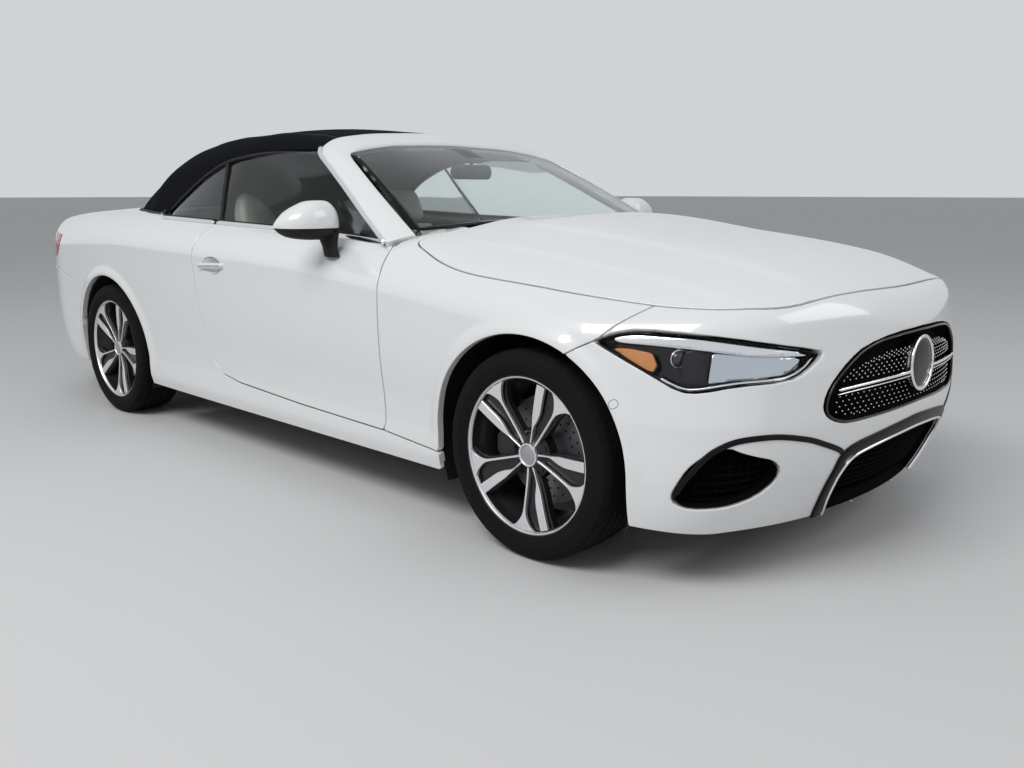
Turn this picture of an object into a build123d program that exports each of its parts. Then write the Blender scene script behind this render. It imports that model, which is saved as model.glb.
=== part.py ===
"""Four-seat convertible with its fabric roof raised, as separate panels on a floor pan.

Frame: +X forward, +Y to the car's left, +Z up, millimetres. The origin is on the ground, under the middle
of the car's length. The body is one outer form, made from level sections (waterlines) and cut off by a top
form (bonnet, belt and boot). Each panel is the part of that form inside its own outline, and an inner form
makes the panels hollow.
"""

from build123d import *
import math
import os

os.makedirs("parts", exist_ok=True)

# ---- driving dimensions ----
FRONT_AXLE_X = 1583
WHEELBASE = 2865
REAR_AXLE_X = FRONT_AXLE_X - WHEELBASE
WHEEL_Y = 806  # centre plane of each wheel
TYRE_R = 327
ARCH_R = 374
ARCH_Z = TYRE_R + 2
ARCH_SHIFT = -6  # the opening's centre lies behind the axle
PANEL_GAP = 5
SHELL = 26  # thickness of bonnet, boot lid, wings and bumpers
FLOOR_TOP = 235

# Level sections of the body. Columns: height, nose x, half width at the front corner, at the door, at the
# rear corner, tail x, radius of the nose, radius of the front corners.
WATERLINES = (
    (150, 2278, 875, 880, 850, -2300, 1890, 165),
    (235, 2323, 896, 900, 872, -2345, 1860, 178),
    (340, 2370, 903, 902, 890, -2400, 1740, 210),
    (480, 2402, 911, 911, 900, -2425, 1560, 248),
    (620, 2403, 915, 926, 905, -2415, 1440, 283),
    (760, 2385, 907, 926, 909, -2390, 1390, 300),
    (860, 2366, 884, 920, 903, -2370, 1390, 320),
    (960, 2341, 858, 882, 874, -2355, 1390, 320),
    (1080, 2310, 838, 845, 845, -2335, 1390, 320),
)
TAIL_R = 2200
CORNER_R = 320  # rear corners

# Cross sections of the top form. Columns: x, height at the centre line, crown half width, height there,
# outer half width, height at the middle of the shoulder, height at the outer edge.
TOP_SECTIONS = (
    (2470, 640, 600, 600, 980, 575, 520),
    (2385, 775, 600, 725, 980, 690, 600),
    (2300, 842, 620, 782, 980, 742, 640),
    (2050, 905, 660, 845, 980, 795, 690),
    (1650, 955, 690, 893, 980, 835, 720),
    (1200, 985, 720, 925, 980, 878, 770),
    (900, 992, 740, 950, 980, 905, 800),
    (300, 1000, 780, 958, 980, 922, 822),
    (-400, 1018, 780, 975, 980, 940, 840),
    (-1100, 1040, 740, 1002, 980, 955, 850),
    (-1700, 1040, 680, 1005, 980, 945, 830),
    (-2150, 1018, 600, 985, 980, 925, 800),
    (-2470, 975, 560, 950, 980, 880, 740),
)


# ---- regions of the body, each an outline in side view (x, z) unless it says plan (x, y) ----
BONNET_PLAN = (
    (1036, 0), (1005, 400), (965, 660), (936, 772), (990, 800), (1120, 822), (1380, 818), (1610, 806),
    (1810, 782), (1944, 755), (2060, 712), (2137, 672), (2235, 578), (2284, 400), (2309, 200), (2316, 0),
)
BOOT_PLAN = ((-1666, 0), (-1666, 560), (-1740, 600), (-2150, 595), (-2290, 560), (-2335, 440), (-2500, 440))
DECK_PLAN = ((-1655, 0), (-1655, 640), (-1560, 688), (-1246, 712), (-1246, 0))
DOOR_SIDE = (
    (838, 1100), (838, 965), (865, 912), (899, 833), (905, 650), (905, 300), (893, 284), (376, 298),
    (-87, 319), (-215, 340), (-270, 385), (-330, 520), (-361, 700), (-372, 800), (-372, 1100),
)
WING_SIDE = (
    (844, 1100), (844, 967), (871, 915), (906, 836), (911, 650), (911, 284), (1195, 262), (1195, 100),
    (1737, 100), (1737, 657), (1813, 702), (1834, 714), (1871, 751), (1938, 803), (1968, 1100),
)
NOSE_SIDE = (
    (1743, 100), (1743, 655), (1819, 700), (1840, 711), (1877, 748), (1944, 800), (1974, 1100),
    (2600, 1100), (2600, 100),
)
SILL_SIDE = (
    (1190, 200), (1190, 256), (900, 277), (376, 290), (-87, 304), (-380, 308), (-905, 308), (-905, 200),
)
QUARTER_SIDE = (
    (-378, 1100), (-378, 800), (-367, 700), (-336, 518), (-276, 379), (-222, 333), (-222, 314),
    (-905, 314), (-905, 150), (-1660, 150), (-1660, 632), (-1900, 702), (-2600, 742), (-2600, 1100),
)
TAIL_SIDE = ((-1666, 185), (-1666, 627), (-1900, 696), (-2600, 736), (-2600, 185))
HEADLAMP_SIDE = (
    (1833, 704), (1876, 728), (1948, 743), (2096, 735), (2217, 717), (2304, 683), (2308, 668), (2293, 630),
    (2278, 612), (2196, 604), (2119, 583), (2074, 586), (1996, 627), (1910, 667),
)
TAIL_LAMP_SIDE = ((-1862, 893), (-1845, 850), (-1920, 765), (-2040, 748), (-2600, 760), (-2600, 900))
GRILLE_FRONT = (
    (0, 712), (180, 707), (321, 682), (390, 647), (444, 604), (475, 559), (484, 520), (467, 498), (431, 480),
    (382, 471), (246, 476), (0, 487),
)
LOW_GRILLE_FRONT = (
    (0, 412), (200, 400), (325, 388), (372, 360), (382, 290), (366, 225), (340, 180), (0, 180),
)
INTAKE_FRONT = (
    (845, 297), (838, 335), (822, 377), (800, 403), (757, 414), (694, 407), (631, 391), (603, 360),
    (610, 325), (650, 287), (713, 269), (771, 264), (813, 264), (835, 274),
)

# ---- windows and roof ----
GLASS = 5
# Windscreen rows, one for each distance from the centre line: y, base x, base z, top x, top z.
SCREEN_ROWS = ((-700, 905, 972, 345, 1253), (0, 998, 990, 292, 1309), (700, 905, 972, 345, 1253))
# Side edge of the windscreen: y at the base and at the top.
SCREEN_SIDE = (715, 560)
# Roof sections. Columns: x, crown height, crown half width, height there, shoulder middle half width and
# height, edge half width and height, foot half width and height.
ROOF_ROWS = (
    (168, 1364, 430, 1340, 575, 1320, 634, 1276, 640, 1262),
    (-300, 1414, 440, 1386, 590, 1352, 650, 1262, 790, 960),
    (-750, 1398, 440, 1366, 590, 1318, 662, 1200, 800, 960),
    (-1140, 1330, 420, 1290, 575, 1222, 660, 1105, 790, 960),
    (-1400, 1216, 400, 1180, 550, 1128, 655, 1060, 720, 960),
    (-1640, 1062, 380, 1054, 500, 1048, 600, 1042, 640, 960),
)
WINDOW_SIDE = (
    (900, 900), (520, 1108), (196, 1274), (186, 1277), (-47, 1276), (-309, 1258), (-540, 1201),
    (-746, 1112), (-951, 1013), (-1010, 940),
)
ROOF_THICK = 24
REAR_WINDOW = ((-1080, 350), (-1400, 400), (-1400, -400), (-1080, -350))
DOOR_WINDOW = [(790, 950), (228, 1243), (176, 1268), (-47, 1268), (-309, 1250), (-470, 1213), (-333, 950)]
REAR_SIDE_WINDOW = [
    (-345, 955), (-486, 1206), (-540, 1192), (-746, 1103), (-940, 1008), (-960, 985), (-940, 972),
]

# ---- wheels, turned about the Y axis: radius and y ----
SPOKE_PAIRS = 5
PADDLE_ANGLE = 105.5  # first wide spoke, seen from outside, from forwards towards up
PAIR_STEP = 22.4  # from a wide spoke to its thin one
BOLT_CIRCLE_R = 56
BARREL = (
    (246, 104), (246, 97), (228, 95), (226, 60), (205, 30), (205, -60), (226, -80), (228, -95),
    (246, -97), (246, -104), (222, -103), (219, -80), (197, -58), (197, 28), (218, 58), (222, 100),
    (236, 104),
)
SPOKE_FACE = ((0, 66), (60, 66), (235, 92), (235, 58), (60, 46), (0, 46))
WIDE_SPOKE = ((45, 17), (110, 19), (180, 25), (222, 31))
THIN_SPOKE = ((45, 12), (165, 9), (195, 17), (221, 36))
TREAD = (
    (228.6, 94.5), (246.6, 96.5), (246.6, 104.6), (258, 110), (280, 112), (305, 110), (322, 98),
    (327, 80), (327, -80), (322, -98), (305, -110), (280, -112), (258, -110), (246.6, -104.6),
    (246.6, -96.5), (228.6, -94.5),
)
DISC = ((74, 45), (74, -10), (100, -10), (172, -10), (172, -38), (66, -38), (66, 37), (34, 37), (34, 45))

# ---- cabin ----
SEAT_Y = 370


# ---- helpers ----
def prism_y(points, y_low, y_high):
    """Outline in x and z, extruded from y_low to y_high."""
    face = make_face(Polyline(*[(x, y_low, z) for x, z in points], close=True))
    return extrude(face, amount=y_high - y_low, dir=(0, 1, 0))


def prism_x(points, x_low, x_high):
    """Outline in y and z, extruded from x_low to x_high."""
    face = make_face(Polyline(*[(x_low, y, z) for y, z in points], close=True))
    return extrude(face, amount=x_high - x_low, dir=(1, 0, 0))


def prism_z(points, z_low, z_high):
    """Outline in x and y, extruded from z_low to z_high."""
    face = make_face(Polyline(*[(x, y, z_low) for x, y in points], close=True))
    return extrude(face, amount=z_high - z_low, dir=(0, 0, 1))


def slab(x_low, x_high, y_low, y_high, z_low, z_high):
    """Plain block between two corners."""
    size = (x_high - x_low, y_high - y_low, z_high - z_low)
    centre = ((x_low + x_high) / 2, (y_low + y_high) / 2, (z_low + z_high) / 2)
    return Pos(*centre) * Box(*size)


def disc_y(x, z, radius, y_low, y_high):
    """Round bar along Y."""
    return Pos(x, (y_low + y_high) / 2, z) * Rot(90, 0, 0) * Cylinder(radius, y_high - y_low)


def mirrored(shape):
    """The same shape on the other side of the car."""
    return mirror(shape, about=Plane.XZ)


def save(name, *shapes):
    """Writes a node: all its solids, in one STEP file."""
    solids = [s for shape in shapes for s in shape.solids()]
    node = solids[0] if len(solids) == 1 else Compound(children=solids)
    export_step(node, f"parts/{name}.step")
    print(f"{name:22s} solids {len(solids)}  volume {sum(s.volume for s in solids) / 1e6:.2f} l")


# ---- outer and inner form of the body ----
def waterline(z, nose_x, front_half, door_half, rear_half, tail_x, nose_r, front_corner_r, inset):
    """Level section: nose and tail arcs, side arcs, and four rounded corners."""
    nose_x, tail_x = nose_x - inset, tail_x + inset
    front_half, door_half, rear_half = front_half - inset, door_half - inset, rear_half - inset
    front_x = nose_x - nose_r + math.sqrt(nose_r**2 - front_half**2)
    rear_x = tail_x + TAIL_R - math.sqrt(TAIL_R**2 - rear_half**2)
    corners = [(front_x, front_half), (rear_x, rear_half), (rear_x, -rear_half), (front_x, -front_half)]
    a, b, c, d = [(x, y, z) for x, y in corners]
    edges = (
        ThreePointArc(a, (0, door_half, z), b),
        ThreePointArc(b, (tail_x, 0, z), c),
        ThreePointArc(c, (0, -door_half, z), d),
        ThreePointArc(d, (nose_x, 0, z), a),
    )
    face = make_face(edges)
    face = fillet(face.vertices().sort_by(Axis.X)[-2:], front_corner_r)
    return fillet(face.vertices().sort_by(Axis.X)[:2], CORNER_R)


def side_form(inset):
    return loft([waterline(*row, inset) for row in WATERLINES])


def top_form(drop):
    """Everything under the bonnet, belt and boot surface, lowered by drop."""
    faces = []
    for x, centre, crown_half, crown_z, outer_half, mid_z, outer_z in TOP_SECTIONS:
        mid_half = (crown_half + outer_half) / 2
        left, right = (x, crown_half, crown_z - drop), (x, -crown_half, crown_z - drop)
        left_out, right_out = (x, outer_half, outer_z - drop), (x, -outer_half, outer_z - drop)
        low_left, low_right = (x, outer_half, 0), (x, -outer_half, 0)
        edges = (
            ThreePointArc(right, (x, 0, centre - drop), left),
            ThreePointArc(left, (x, mid_half, mid_z - drop), left_out),
            Line(left_out, low_left),
            Line(low_left, low_right),
            Line(low_right, right_out),
            ThreePointArc(right_out, (x, -mid_half, mid_z - drop), right),
        )
        faces.append(make_face(edges))
    return loft(faces)


def region_plan(half, z_low, z_high):
    """Plan outline given for the left half, as a prism across the whole car."""
    rest = [(x, -y) for x, y in reversed(half) if y > 0]
    return prism_z(list(half) + rest, z_low, z_high)


def region_front(half, x_low, x_high):
    """Front-view outline given for the left half, as a prism across the whole car."""
    rest = [(-y, z) for y, z in reversed(half) if y > 0]
    return prism_x(list(half) + rest, x_low, x_high)


def wheel_well(axle_x, y_low, reach):
    """Space for a wheel on the left side: a round opening in the skin and a box behind it."""
    middle = axle_x + ARCH_SHIFT
    skin = disc_y(middle, ARCH_Z, ARCH_R, y_low, 1000)
    skin += slab(middle - ARCH_R - 8, middle + ARCH_R + 8, y_low, 1000, 0, ARCH_Z)
    return skin + slab(axle_x - reach, axle_x + reach, y_low, 862, 0, 712)


outer = side_form(0) & top_form(0)
inner = side_form(SHELL) & top_form(SHELL)
inner += slab(-2300, 2250, -820, 820, 100, 200)
shell = outer - inner
wells = wheel_well(FRONT_AXLE_X, 500, 395) + wheel_well(REAR_AXLE_X, 655, 375)
wells += mirrored(wells)
bonnet_zone = region_plan(BONNET_PLAN, 560, 1200)
boot_zone = region_plan(BOOT_PLAN, 722, 1200)
deck_zone = region_plan(DECK_PLAN, 900, 1200)


def widened(points, gap, z_low, z_high):
    """Plan region grown by the panel gap."""
    face = make_face(Polyline(*[(x, y) for x, y in points], close=True))
    grown = offset(face, gap, kind=Kind.INTERSECTION)
    return extrude(Pos(0, 0, z_low) * grown, z_high - z_low)


def both(half):
    return list(half) + [(x, -y) for x, y in reversed(half) if y > 0]


bonnet_gap = widened(both(BONNET_PLAN), PANEL_GAP, 560, 1200)
boot_gap = widened(both(BOOT_PLAN), PANEL_GAP, 716, 1200)
deck_gap = widened(both(DECK_PLAN), 0.5, 900, 1200)

# ---- lamps and grilles, cut from the skin ----
headlamp_zone = prism_y(HEADLAMP_SIDE, 496, 1000)
headlamp_zone += mirrored(headlamp_zone)
tail_zone = prism_y(TAIL_LAMP_SIDE, 445, 1000)
tail_zone += slab(-2600, -2270, 445, 604, 722, 762)  # down to the bumper beside the boot lid
tail_zone += mirrored(tail_zone)
lamp_core = side_form(60) & top_form(40)
headlamps = (outer & headlamp_zone) - lamp_core - bonnet_gap
tail_lamps = (outer & tail_zone) - lamp_core - boot_gap

grille_zone = region_front(GRILLE_FRONT, 2200, 2600)
low_zone = region_front(LOW_GRILLE_FRONT, 2150, 2600)
intake_zone = prism_x(INTAKE_FRONT, 1980, 2600)
intake_zone += mirrored(intake_zone)
set_back = side_form(14)
grille = ((set_back - side_form(50)) & grille_zone) - bonnet_gap
low_grille = (set_back - side_form(50)) & (low_zone + intake_zone)
grille_bar = (side_form(4) - side_form(13.5)) & slab(2200, 2600, -420, 420, 568, 592)
roundel = Pos(2403, 0, 600) * Rot(0, 90, 0) * Cylinder(86, 44)
roundel = roundel - side_form(13.5)

openings = headlamp_zone + grille_zone + low_zone + intake_zone

# ---- fixed panels ----
body = shell - wells
nose = (body & prism_y(NOSE_SIDE, -1000, 1000)) - bonnet_gap - openings
save("front_bumper", nose)
wing = (body & prism_y(WING_SIDE, 600, 1000)) - bonnet_gap - headlamp_zone
wing -= slab(800, 1000, 0, 772, 0, 1100)
save("front_wings", wing, mirrored(wing))
save("grille", grille, grille_bar, roundel)
save("lower_grille", low_grille)
save("headlamps", headlamps)
save("tail_lamps", tail_lamps)

thick_wall = outer & slab(-1246, -370, 610, 1000, 270, 1100)
quarter = (shell + thick_wall) & prism_y(QUARTER_SIDE, 300, 1000)
quarter = quarter - wells - boot_gap - tail_zone - deck_gap
quarter = quarter - slab(-640, -300, 500, 775, 0, 1100) - slab(-1246, -300, 0, 610, 0, 1100)
save("rear_quarters", quarter, mirrored(quarter))
tail = (body & prism_y(TAIL_SIDE, -1000, 1000)) - boot_gap
for y in (-450, 450):
    tail -= slab(-2500, -2200, y - 88, y + 88, 224, 308)
save("rear_bumper", tail)
deck = shell & deck_zone
save("rear_deck", deck)

# ---- moving panels ----
bonnet = shell & bonnet_zone
front_edge = slab(2050, 2400, -900, 900, 500, 1000) - Pos(-10, 0, 0) * bonnet_zone
bonnet -= front_edge & top_form(10)  # step in the front edge, clear as it swings
save("bonnet", bonnet)
boot_lid = (shell & boot_zone) - tail_zone
save("boot_lid", boot_lid)
door_plan = prism_z([(1000, 775), (1000, 1000), (-380, 1000), (-380, 905), (-352, 775)], 200, 1100)
door_left = outer & prism_y(DOOR_SIDE, 600, 1000) & door_plan
door_left -= Pos(19, 0, 0) * prism_y(QUARTER_SIDE, 600, 882)  # step in the rear edge, clear as it swings
save("door_left", door_left)
save("door_right", mirrored(door_left))

# ---- floor ----
pan = outer & slab(-1250, 900, -800, 800, 190, FLOOR_TOP)
sill = outer & prism_y(SILL_SIDE, 775, 1000)
pan = (pan + sill + mirrored(sill)) - wells
save("floor_pan", pan)

# ---- windscreen, its frame and the roof ----
def roof_form(drop):
    faces = []
    for x, crown, crown_y, crown_z, mid_y, mid_z, edge_y, edge_z, foot_y, foot_z in ROOF_ROWS:
        crown, crown_z, mid_z, edge_z = crown - drop, crown_z - drop, mid_z - drop, edge_z - drop
        mid_y, edge_y, foot_y = mid_y - drop * 0.7, edge_y - drop, foot_y - drop
        foot_z = min(foot_z, edge_z - 5)
        right, left = (x, -crown_y, crown_z), (x, crown_y, crown_z)
        edges = (
            ThreePointArc(right, (x, 0, crown), left),
            ThreePointArc(left, (x, mid_y, mid_z), (x, edge_y, edge_z)),
            Line((x, edge_y, edge_z), (x, foot_y, foot_z)),
            Line((x, foot_y, foot_z), (x, -foot_y, foot_z)),
            Line((x, -foot_y, foot_z), (x, -edge_y, edge_z)),
            ThreePointArc((x, -edge_y, edge_z), (x, -mid_y, mid_z), right),
        )
        faces.append(make_face(edges))
    return loft(faces)


def grown_side(points, gap, y_low, y_high):
    """Side-view outline grown by a gap, as a prism."""
    face = make_face(Polyline(*[(x, z) for x, z in points], close=True))
    face = offset(face, gap, kind=Kind.INTERSECTION)
    return Pos(0, y_high, 0) * Rot(90, 0, 0) * extrude(face, y_high - y_low)


def strut(start, end, side_dir, start_size, end_size):
    """Straight bar with a rectangular section that changes from one end to the other."""
    axis = tuple(e - s for s, e in zip(start, end))
    faces = []
    for origin, (width, depth) in ((start, start_size), (end, end_size)):
        faces.append(Plane(origin=origin, x_dir=side_dir, z_dir=axis) * Rectangle(width, depth))
    return loft(faces)


lifted = top_form(-1)
roof_outer = roof_form(0)
roof = roof_outer - roof_form(ROOF_THICK) - lifted
window_cut = grown_side(WINDOW_SIDE, 5, -1000, 1000)
roof = roof - window_cut - slab(-1700, 400, -2000, 2000, 0, 955)
rear_window_zone = prism_z(REAR_WINDOW, 1000, 1400)
rear_window = roof & prism_z([(x, y * 0.985) for x, y in REAR_WINDOW], 1000, 1400)
roof = roof - rear_window_zone
save("soft_top", roof)
save("rear_window", rear_window)


def side_glass(points):
    """Flat side window leaning in towards the roof, on the left side."""
    sheet = prism_x([(809, 932), (635, 1280), (630, 1278), (804, 930)], -1200, 1000)
    return sheet & prism_y(points, 500, 1000)


door_glass = side_glass(DOOR_WINDOW) - lifted
quarter_glass = side_glass(REAR_SIDE_WINDOW) - lifted
save("door_glass_left", door_glass)
save("door_glass_right", mirrored(door_glass))
save("rear_side_glass", quarter_glass, mirrored(quarter_glass))

rows = []
for y, base_x, base_z, top_x, top_z in SCREEN_ROWS:
    rise = math.hypot(base_x - top_x, top_z - base_z)
    nx, nz = -(top_z - base_z) / rise * GLASS, -(base_x - top_x) / rise * GLASS
    corners = ((base_x, base_z), (top_x, top_z), (top_x + nx, top_z + nz), (base_x + nx, base_z + nz))
    rows.append(make_face(Polyline(*[(x, y, z) for x, z in corners], close=True)))
screen = loft(rows)
base_y, top_y = SCREEN_SIDE
screen = screen & prism_z([(1000, base_y), (1000, -base_y), (905, -base_y), (345, -top_y), (270, -top_y),
                           (270, top_y), (345, top_y), (905, base_y)], 900, 1400)
save("windscreen", screen - lifted)
pillar = strut((842, 775, 938), (252, 612, 1262), (-0.3, 1, 0.1), (66, 34), (44, 34))
header_rows = []
for y, x, z in ((-612, 222, 1272), (0, 172, 1348), (612, 222, 1272)):
    corners = ((x, z), (x + 118, z - 44), (x + 106, z - 70), (x - 4, z - 34))
    header_rows.append(make_face(Polyline(*[(a, y, b) for a, b in corners], close=True)))
header = loft(header_rows)
glass_room = prism_x([(818, 930), (644, 1280), (621, 1280), (795, 930)], -1200, 1000)
pillar -= glass_room & grown_side(DOOR_WINDOW, 6, 500, 1000)
pillar -= slab(740, 870, 772, 900, 880, 958)  # room for the door's inner edge as it swings
frame = (header + pillar + mirrored(pillar)) - lifted - screen
save("windscreen_frame", frame)

# ---- wheels: built about the origin with the outside towards +Y ----
def ring(profile):
    """Ring about the Y axis, from an outline in radius and y."""
    face = make_face(Polyline(*[(r, y, 0) for r, y in profile], close=True))
    return revolve(face, Axis.Y, 360)


def spoke(angle, plan):
    """Spoke outline (radius, half width) turned to its angle, as a plate along Y."""
    a = math.radians(angle)
    points = [(r, w) for r, w in plan] + [(r, -w) for r, w in reversed(plan)]
    turned = [(r * math.cos(a) - w * math.sin(a), r * math.sin(a) + w * math.cos(a)) for r, w in points]
    return prism_y(turned, 20, 130)


face_ring = ring(SPOKE_FACE)
spokes = ring(((0, 70), (62, 68), (62, 46), (0, 46)))
for pair in range(SPOKE_PAIRS):
    angle = PADDLE_ANGLE + 360 / SPOKE_PAIRS * pair
    spokes += face_ring & spoke(angle, WIDE_SPOKE)
    spokes += face_ring & spoke(angle + PAIR_STEP, THIN_SPOKE)
rim = ring(BARREL) + spokes
bolt = Pos(BOLT_CIRCLE_R, 60, 0) * Rot(90, 0, 0) * Cylinder(11, 40)
for count in range(5):
    rim -= Rot(0, 72 * count, 0) * bolt
rim += Pos(0, 70, 0) * Rot(90, 0, 0) * Cylinder(33, 12)
brake_disc = ring(DISC)
tyre = ring(TREAD)
for name, axle_x, y, turn in (
    ("front_left", FRONT_AXLE_X, WHEEL_Y, 0),
    ("rear_left", REAR_AXLE_X, WHEEL_Y, 0),
    ("front_right", FRONT_AXLE_X, -WHEEL_Y, 180),
    ("rear_right", REAR_AXLE_X, -WHEEL_Y, 180),
):
    place = Pos(axle_x, y, TYRE_R) * Rot(0, 0, turn)
    save(f"rim_{name}", place * rim, place * brake_disc)
    save(f"tyre_{name}", place * tyre)

# ---- hub carriers with brake calipers ----
caliper = prism_y([(-150, 60), (-188, 20), (-188, -30), (-150, -70), (-100, -55), (-100, 45)], -66, 22)
caliper -= ring(((0, -43), (177, -43), (177, -5), (0, -5)))
carrier = Pos(0, -86, 0) * Cylinder(15, 330)  # kingpin
carrier += disc_y(0, 0, 58, -110, -44) + disc_y(0, 0, 29, -44, 31) + slab(-27, 27, -113, -78, -130, 150)
carrier += slab(-110, -20, -66, -50, -30, 30)
knuckle = Pos(FRONT_AXLE_X, WHEEL_Y, TYRE_R) * (carrier + caliper)
save("knuckle_left", knuckle)
save("knuckle_right", mirrored(knuckle))

# ---- running gear and engine, as plain masses ----
rear_carrier = Pos(REAR_AXLE_X, WHEEL_Y, TYRE_R) * (carrier + caliper)
rear_arm = slab(REAR_AXLE_X - 40, REAR_AXLE_X + 25, 300, 740, 238, 264)
rear_gear = rear_carrier + rear_arm
rear_gear = rear_gear + mirrored(rear_gear) + slab(-1420, -1256, -320, 320, 215, 300)
save("rear_suspension", rear_gear)
front_arm = slab(FRONT_AXLE_X - 35, FRONT_AXLE_X + 35, 380, 676, 190, 222)
rail = slab(910, 2160, 430, 480, 240, 420)
front_gear = slab(1330, 1840, -470, 470, 185, 238) + front_arm + mirrored(front_arm) + rail + mirrored(rail)
front_gear += slab(2150, 2200, -440, 440, 240, 640)
save("front_subframe", front_gear)
save("engine", fillet(slab(1020, 2000, -300, 300, 245, 800).edges(), 25))
exhaust = fillet(slab(-2250, -1900, -430, 430, 205, 305).edges(), 20)
for y in (-450, 450):
    exhaust += slab(-2352, -2240, y - 78, y + 78, 234, 298)
save("exhaust", exhaust)

# ---- cabin ----
bulkhead = slab(860, 900, -768, 768, 236, 920)
cowl = region_plan(((640, 0), (640, 740), (868, 740), (893, 700), (948, 400), (982, 0)), 915, 945)
save("bulkhead", bulkhead + cowl)
tub = slab(-2330, -1256, -530, 530, 322, 930) - slab(-2316, -1272, -516, 516, 336, 2000)
tub = tub - slab(-2400, -2250, -600, 600, 700, 1000)
save("boot_tub", tub & inner)


def cushion(x_low, x_high, y_low, y_high, z_low, z_high, radius):
    return fillet(slab(x_low, x_high, y_low, y_high, z_low, z_high).edges(), radius)


def tilted(shape, x, z, angle):
    return Pos(x, 0, z) * Rot(0, angle, 0) * Pos(-x, 0, -z) * shape


base = cushion(-330, 200, -255, 255, 300, 430, 40)
back = tilted(cushion(-340, -220, -250, 250, 380, 985, 45), -280, 400, -22)
head = tilted(cushion(-325, -235, -135, 135, 1000, 1170, 35), -280, 400, -22)
posts = tilted(slab(-290, -270, -60, 60, 940, 1020), -280, 400, -22)
stand = slab(-300, 170, -200, 200, 240, 320)
seat = base + back + head + posts + stand
save("front_seats", Pos(0, SEAT_Y, 0) * seat, Pos(0, -SEAT_Y, 0) * seat)
rear_base = cushion(-1120, -640, -590, 590, 290, 440, 40)
rear_back = tilted(cushion(-1130, -1030, -590, 590, 400, 930, 40), -1080, 420, -12)
rear_seat = rear_base + rear_back
for y in (-330, 330):
    rear_seat += tilted(cushion(-1115, -1045, y - 120, y + 120, 900, 1040, 30), -1080, 420, -12)
save("rear_seat", rear_seat)
dash_side = ((858, 905), (640, 912), (560, 880), (540, 780), (600, 640), (640, 500), (858, 500))
dash = prism_y(dash_side, -740, 740)
console = slab(-250, 660, -90, 90, 240, 520)
save("dashboard", dash + console)
wheel_axis = Pos(405, SEAT_Y, 790) * Rot(0, -65, 0)
steering = Torus(175, 13) + Cylinder(58, 44)
for angle in (0, 180, 270):
    steering += Rot(0, 0, angle) * Pos(110, 0, 0) * Box(130, 34, 14)
steering += Pos(0, 0, -65) * Cylinder(24, 90)
save("steering_wheel", wheel_axis * steering)

# ---- door mirrors ----
mirror_head = fillet(slab(545, 665, 862, 1080, 945, 1088).edges(), 40)
mirror_stalk = prism_x([(835, 938), (905, 955), (905, 985), (835, 962)], 585, 650)
mirror_left = (mirror_head + mirror_stalk) - lifted
save("mirror_left", mirror_left)
save("mirror_right", mirrored(mirror_left))
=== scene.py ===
"""Looks of the four-seat convertible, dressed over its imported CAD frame. Metres, +X forward, +Z up.

The painted skin is one smooth outer form, given as the zero level of a function. It is meshed once, on a
grid, and each panel is cut from that mesh along its own shut lines. Trim follows the same form.
"""

import math

import bpy
import numpy as np
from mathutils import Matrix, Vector


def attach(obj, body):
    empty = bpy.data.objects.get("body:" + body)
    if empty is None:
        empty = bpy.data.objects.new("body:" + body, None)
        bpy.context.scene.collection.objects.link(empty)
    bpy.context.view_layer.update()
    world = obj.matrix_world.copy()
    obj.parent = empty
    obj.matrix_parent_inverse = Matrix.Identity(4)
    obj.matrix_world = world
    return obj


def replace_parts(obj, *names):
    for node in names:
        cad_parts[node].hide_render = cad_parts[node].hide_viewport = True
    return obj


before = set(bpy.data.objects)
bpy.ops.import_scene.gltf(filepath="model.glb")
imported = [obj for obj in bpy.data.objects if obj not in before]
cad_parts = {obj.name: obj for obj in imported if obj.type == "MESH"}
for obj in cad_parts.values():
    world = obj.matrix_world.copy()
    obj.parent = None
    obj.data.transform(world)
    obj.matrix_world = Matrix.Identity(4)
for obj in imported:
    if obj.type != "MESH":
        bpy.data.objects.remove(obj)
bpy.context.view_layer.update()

# ---- main sizes ----
FRONT_X, REAR_X = 1.583, -1.282
WHEEL_Y, TYRE_R, ARCH_R = 0.806, 0.327, 0.371
ARCH_SHIFT, ARCH_STRETCH = 0.007, 1.03
STEP, ROOF_STEP, LINING_STEP = 0.012, 0.016, 0.030
GAP, ROLL = 0.0045, 0.003
SCREEN_LOW_Y, SCREEN_TOP_Y = 0.735, 0.59
HANDLE_AT, HANDLE_R = (-0.205, 0.806), (0.068, 0.034)
PIPE_Y, PIPE_Z = 0.45, 0.266
DASH_Y, SEAT_Y, REAR_HEAD_Y = 0.73, 0.37, 0.33
SEAT_BACK_LEAN, REAR_BACK_LEAN = 22, 12


# ---- small numeric helpers ----
def cubic(t, h, a, slope_a, b, slope_b):
    """Value at share t of a stretch h long, from a to b, with these slopes at its ends."""
    start = (2 * t**3 - 3 * t**2 + 1) * a + (t**3 - 2 * t**2 + t) * h * slope_a
    return start + (3 * t**2 - 2 * t**3) * b + (t**3 - t**2) * h * slope_b


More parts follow.
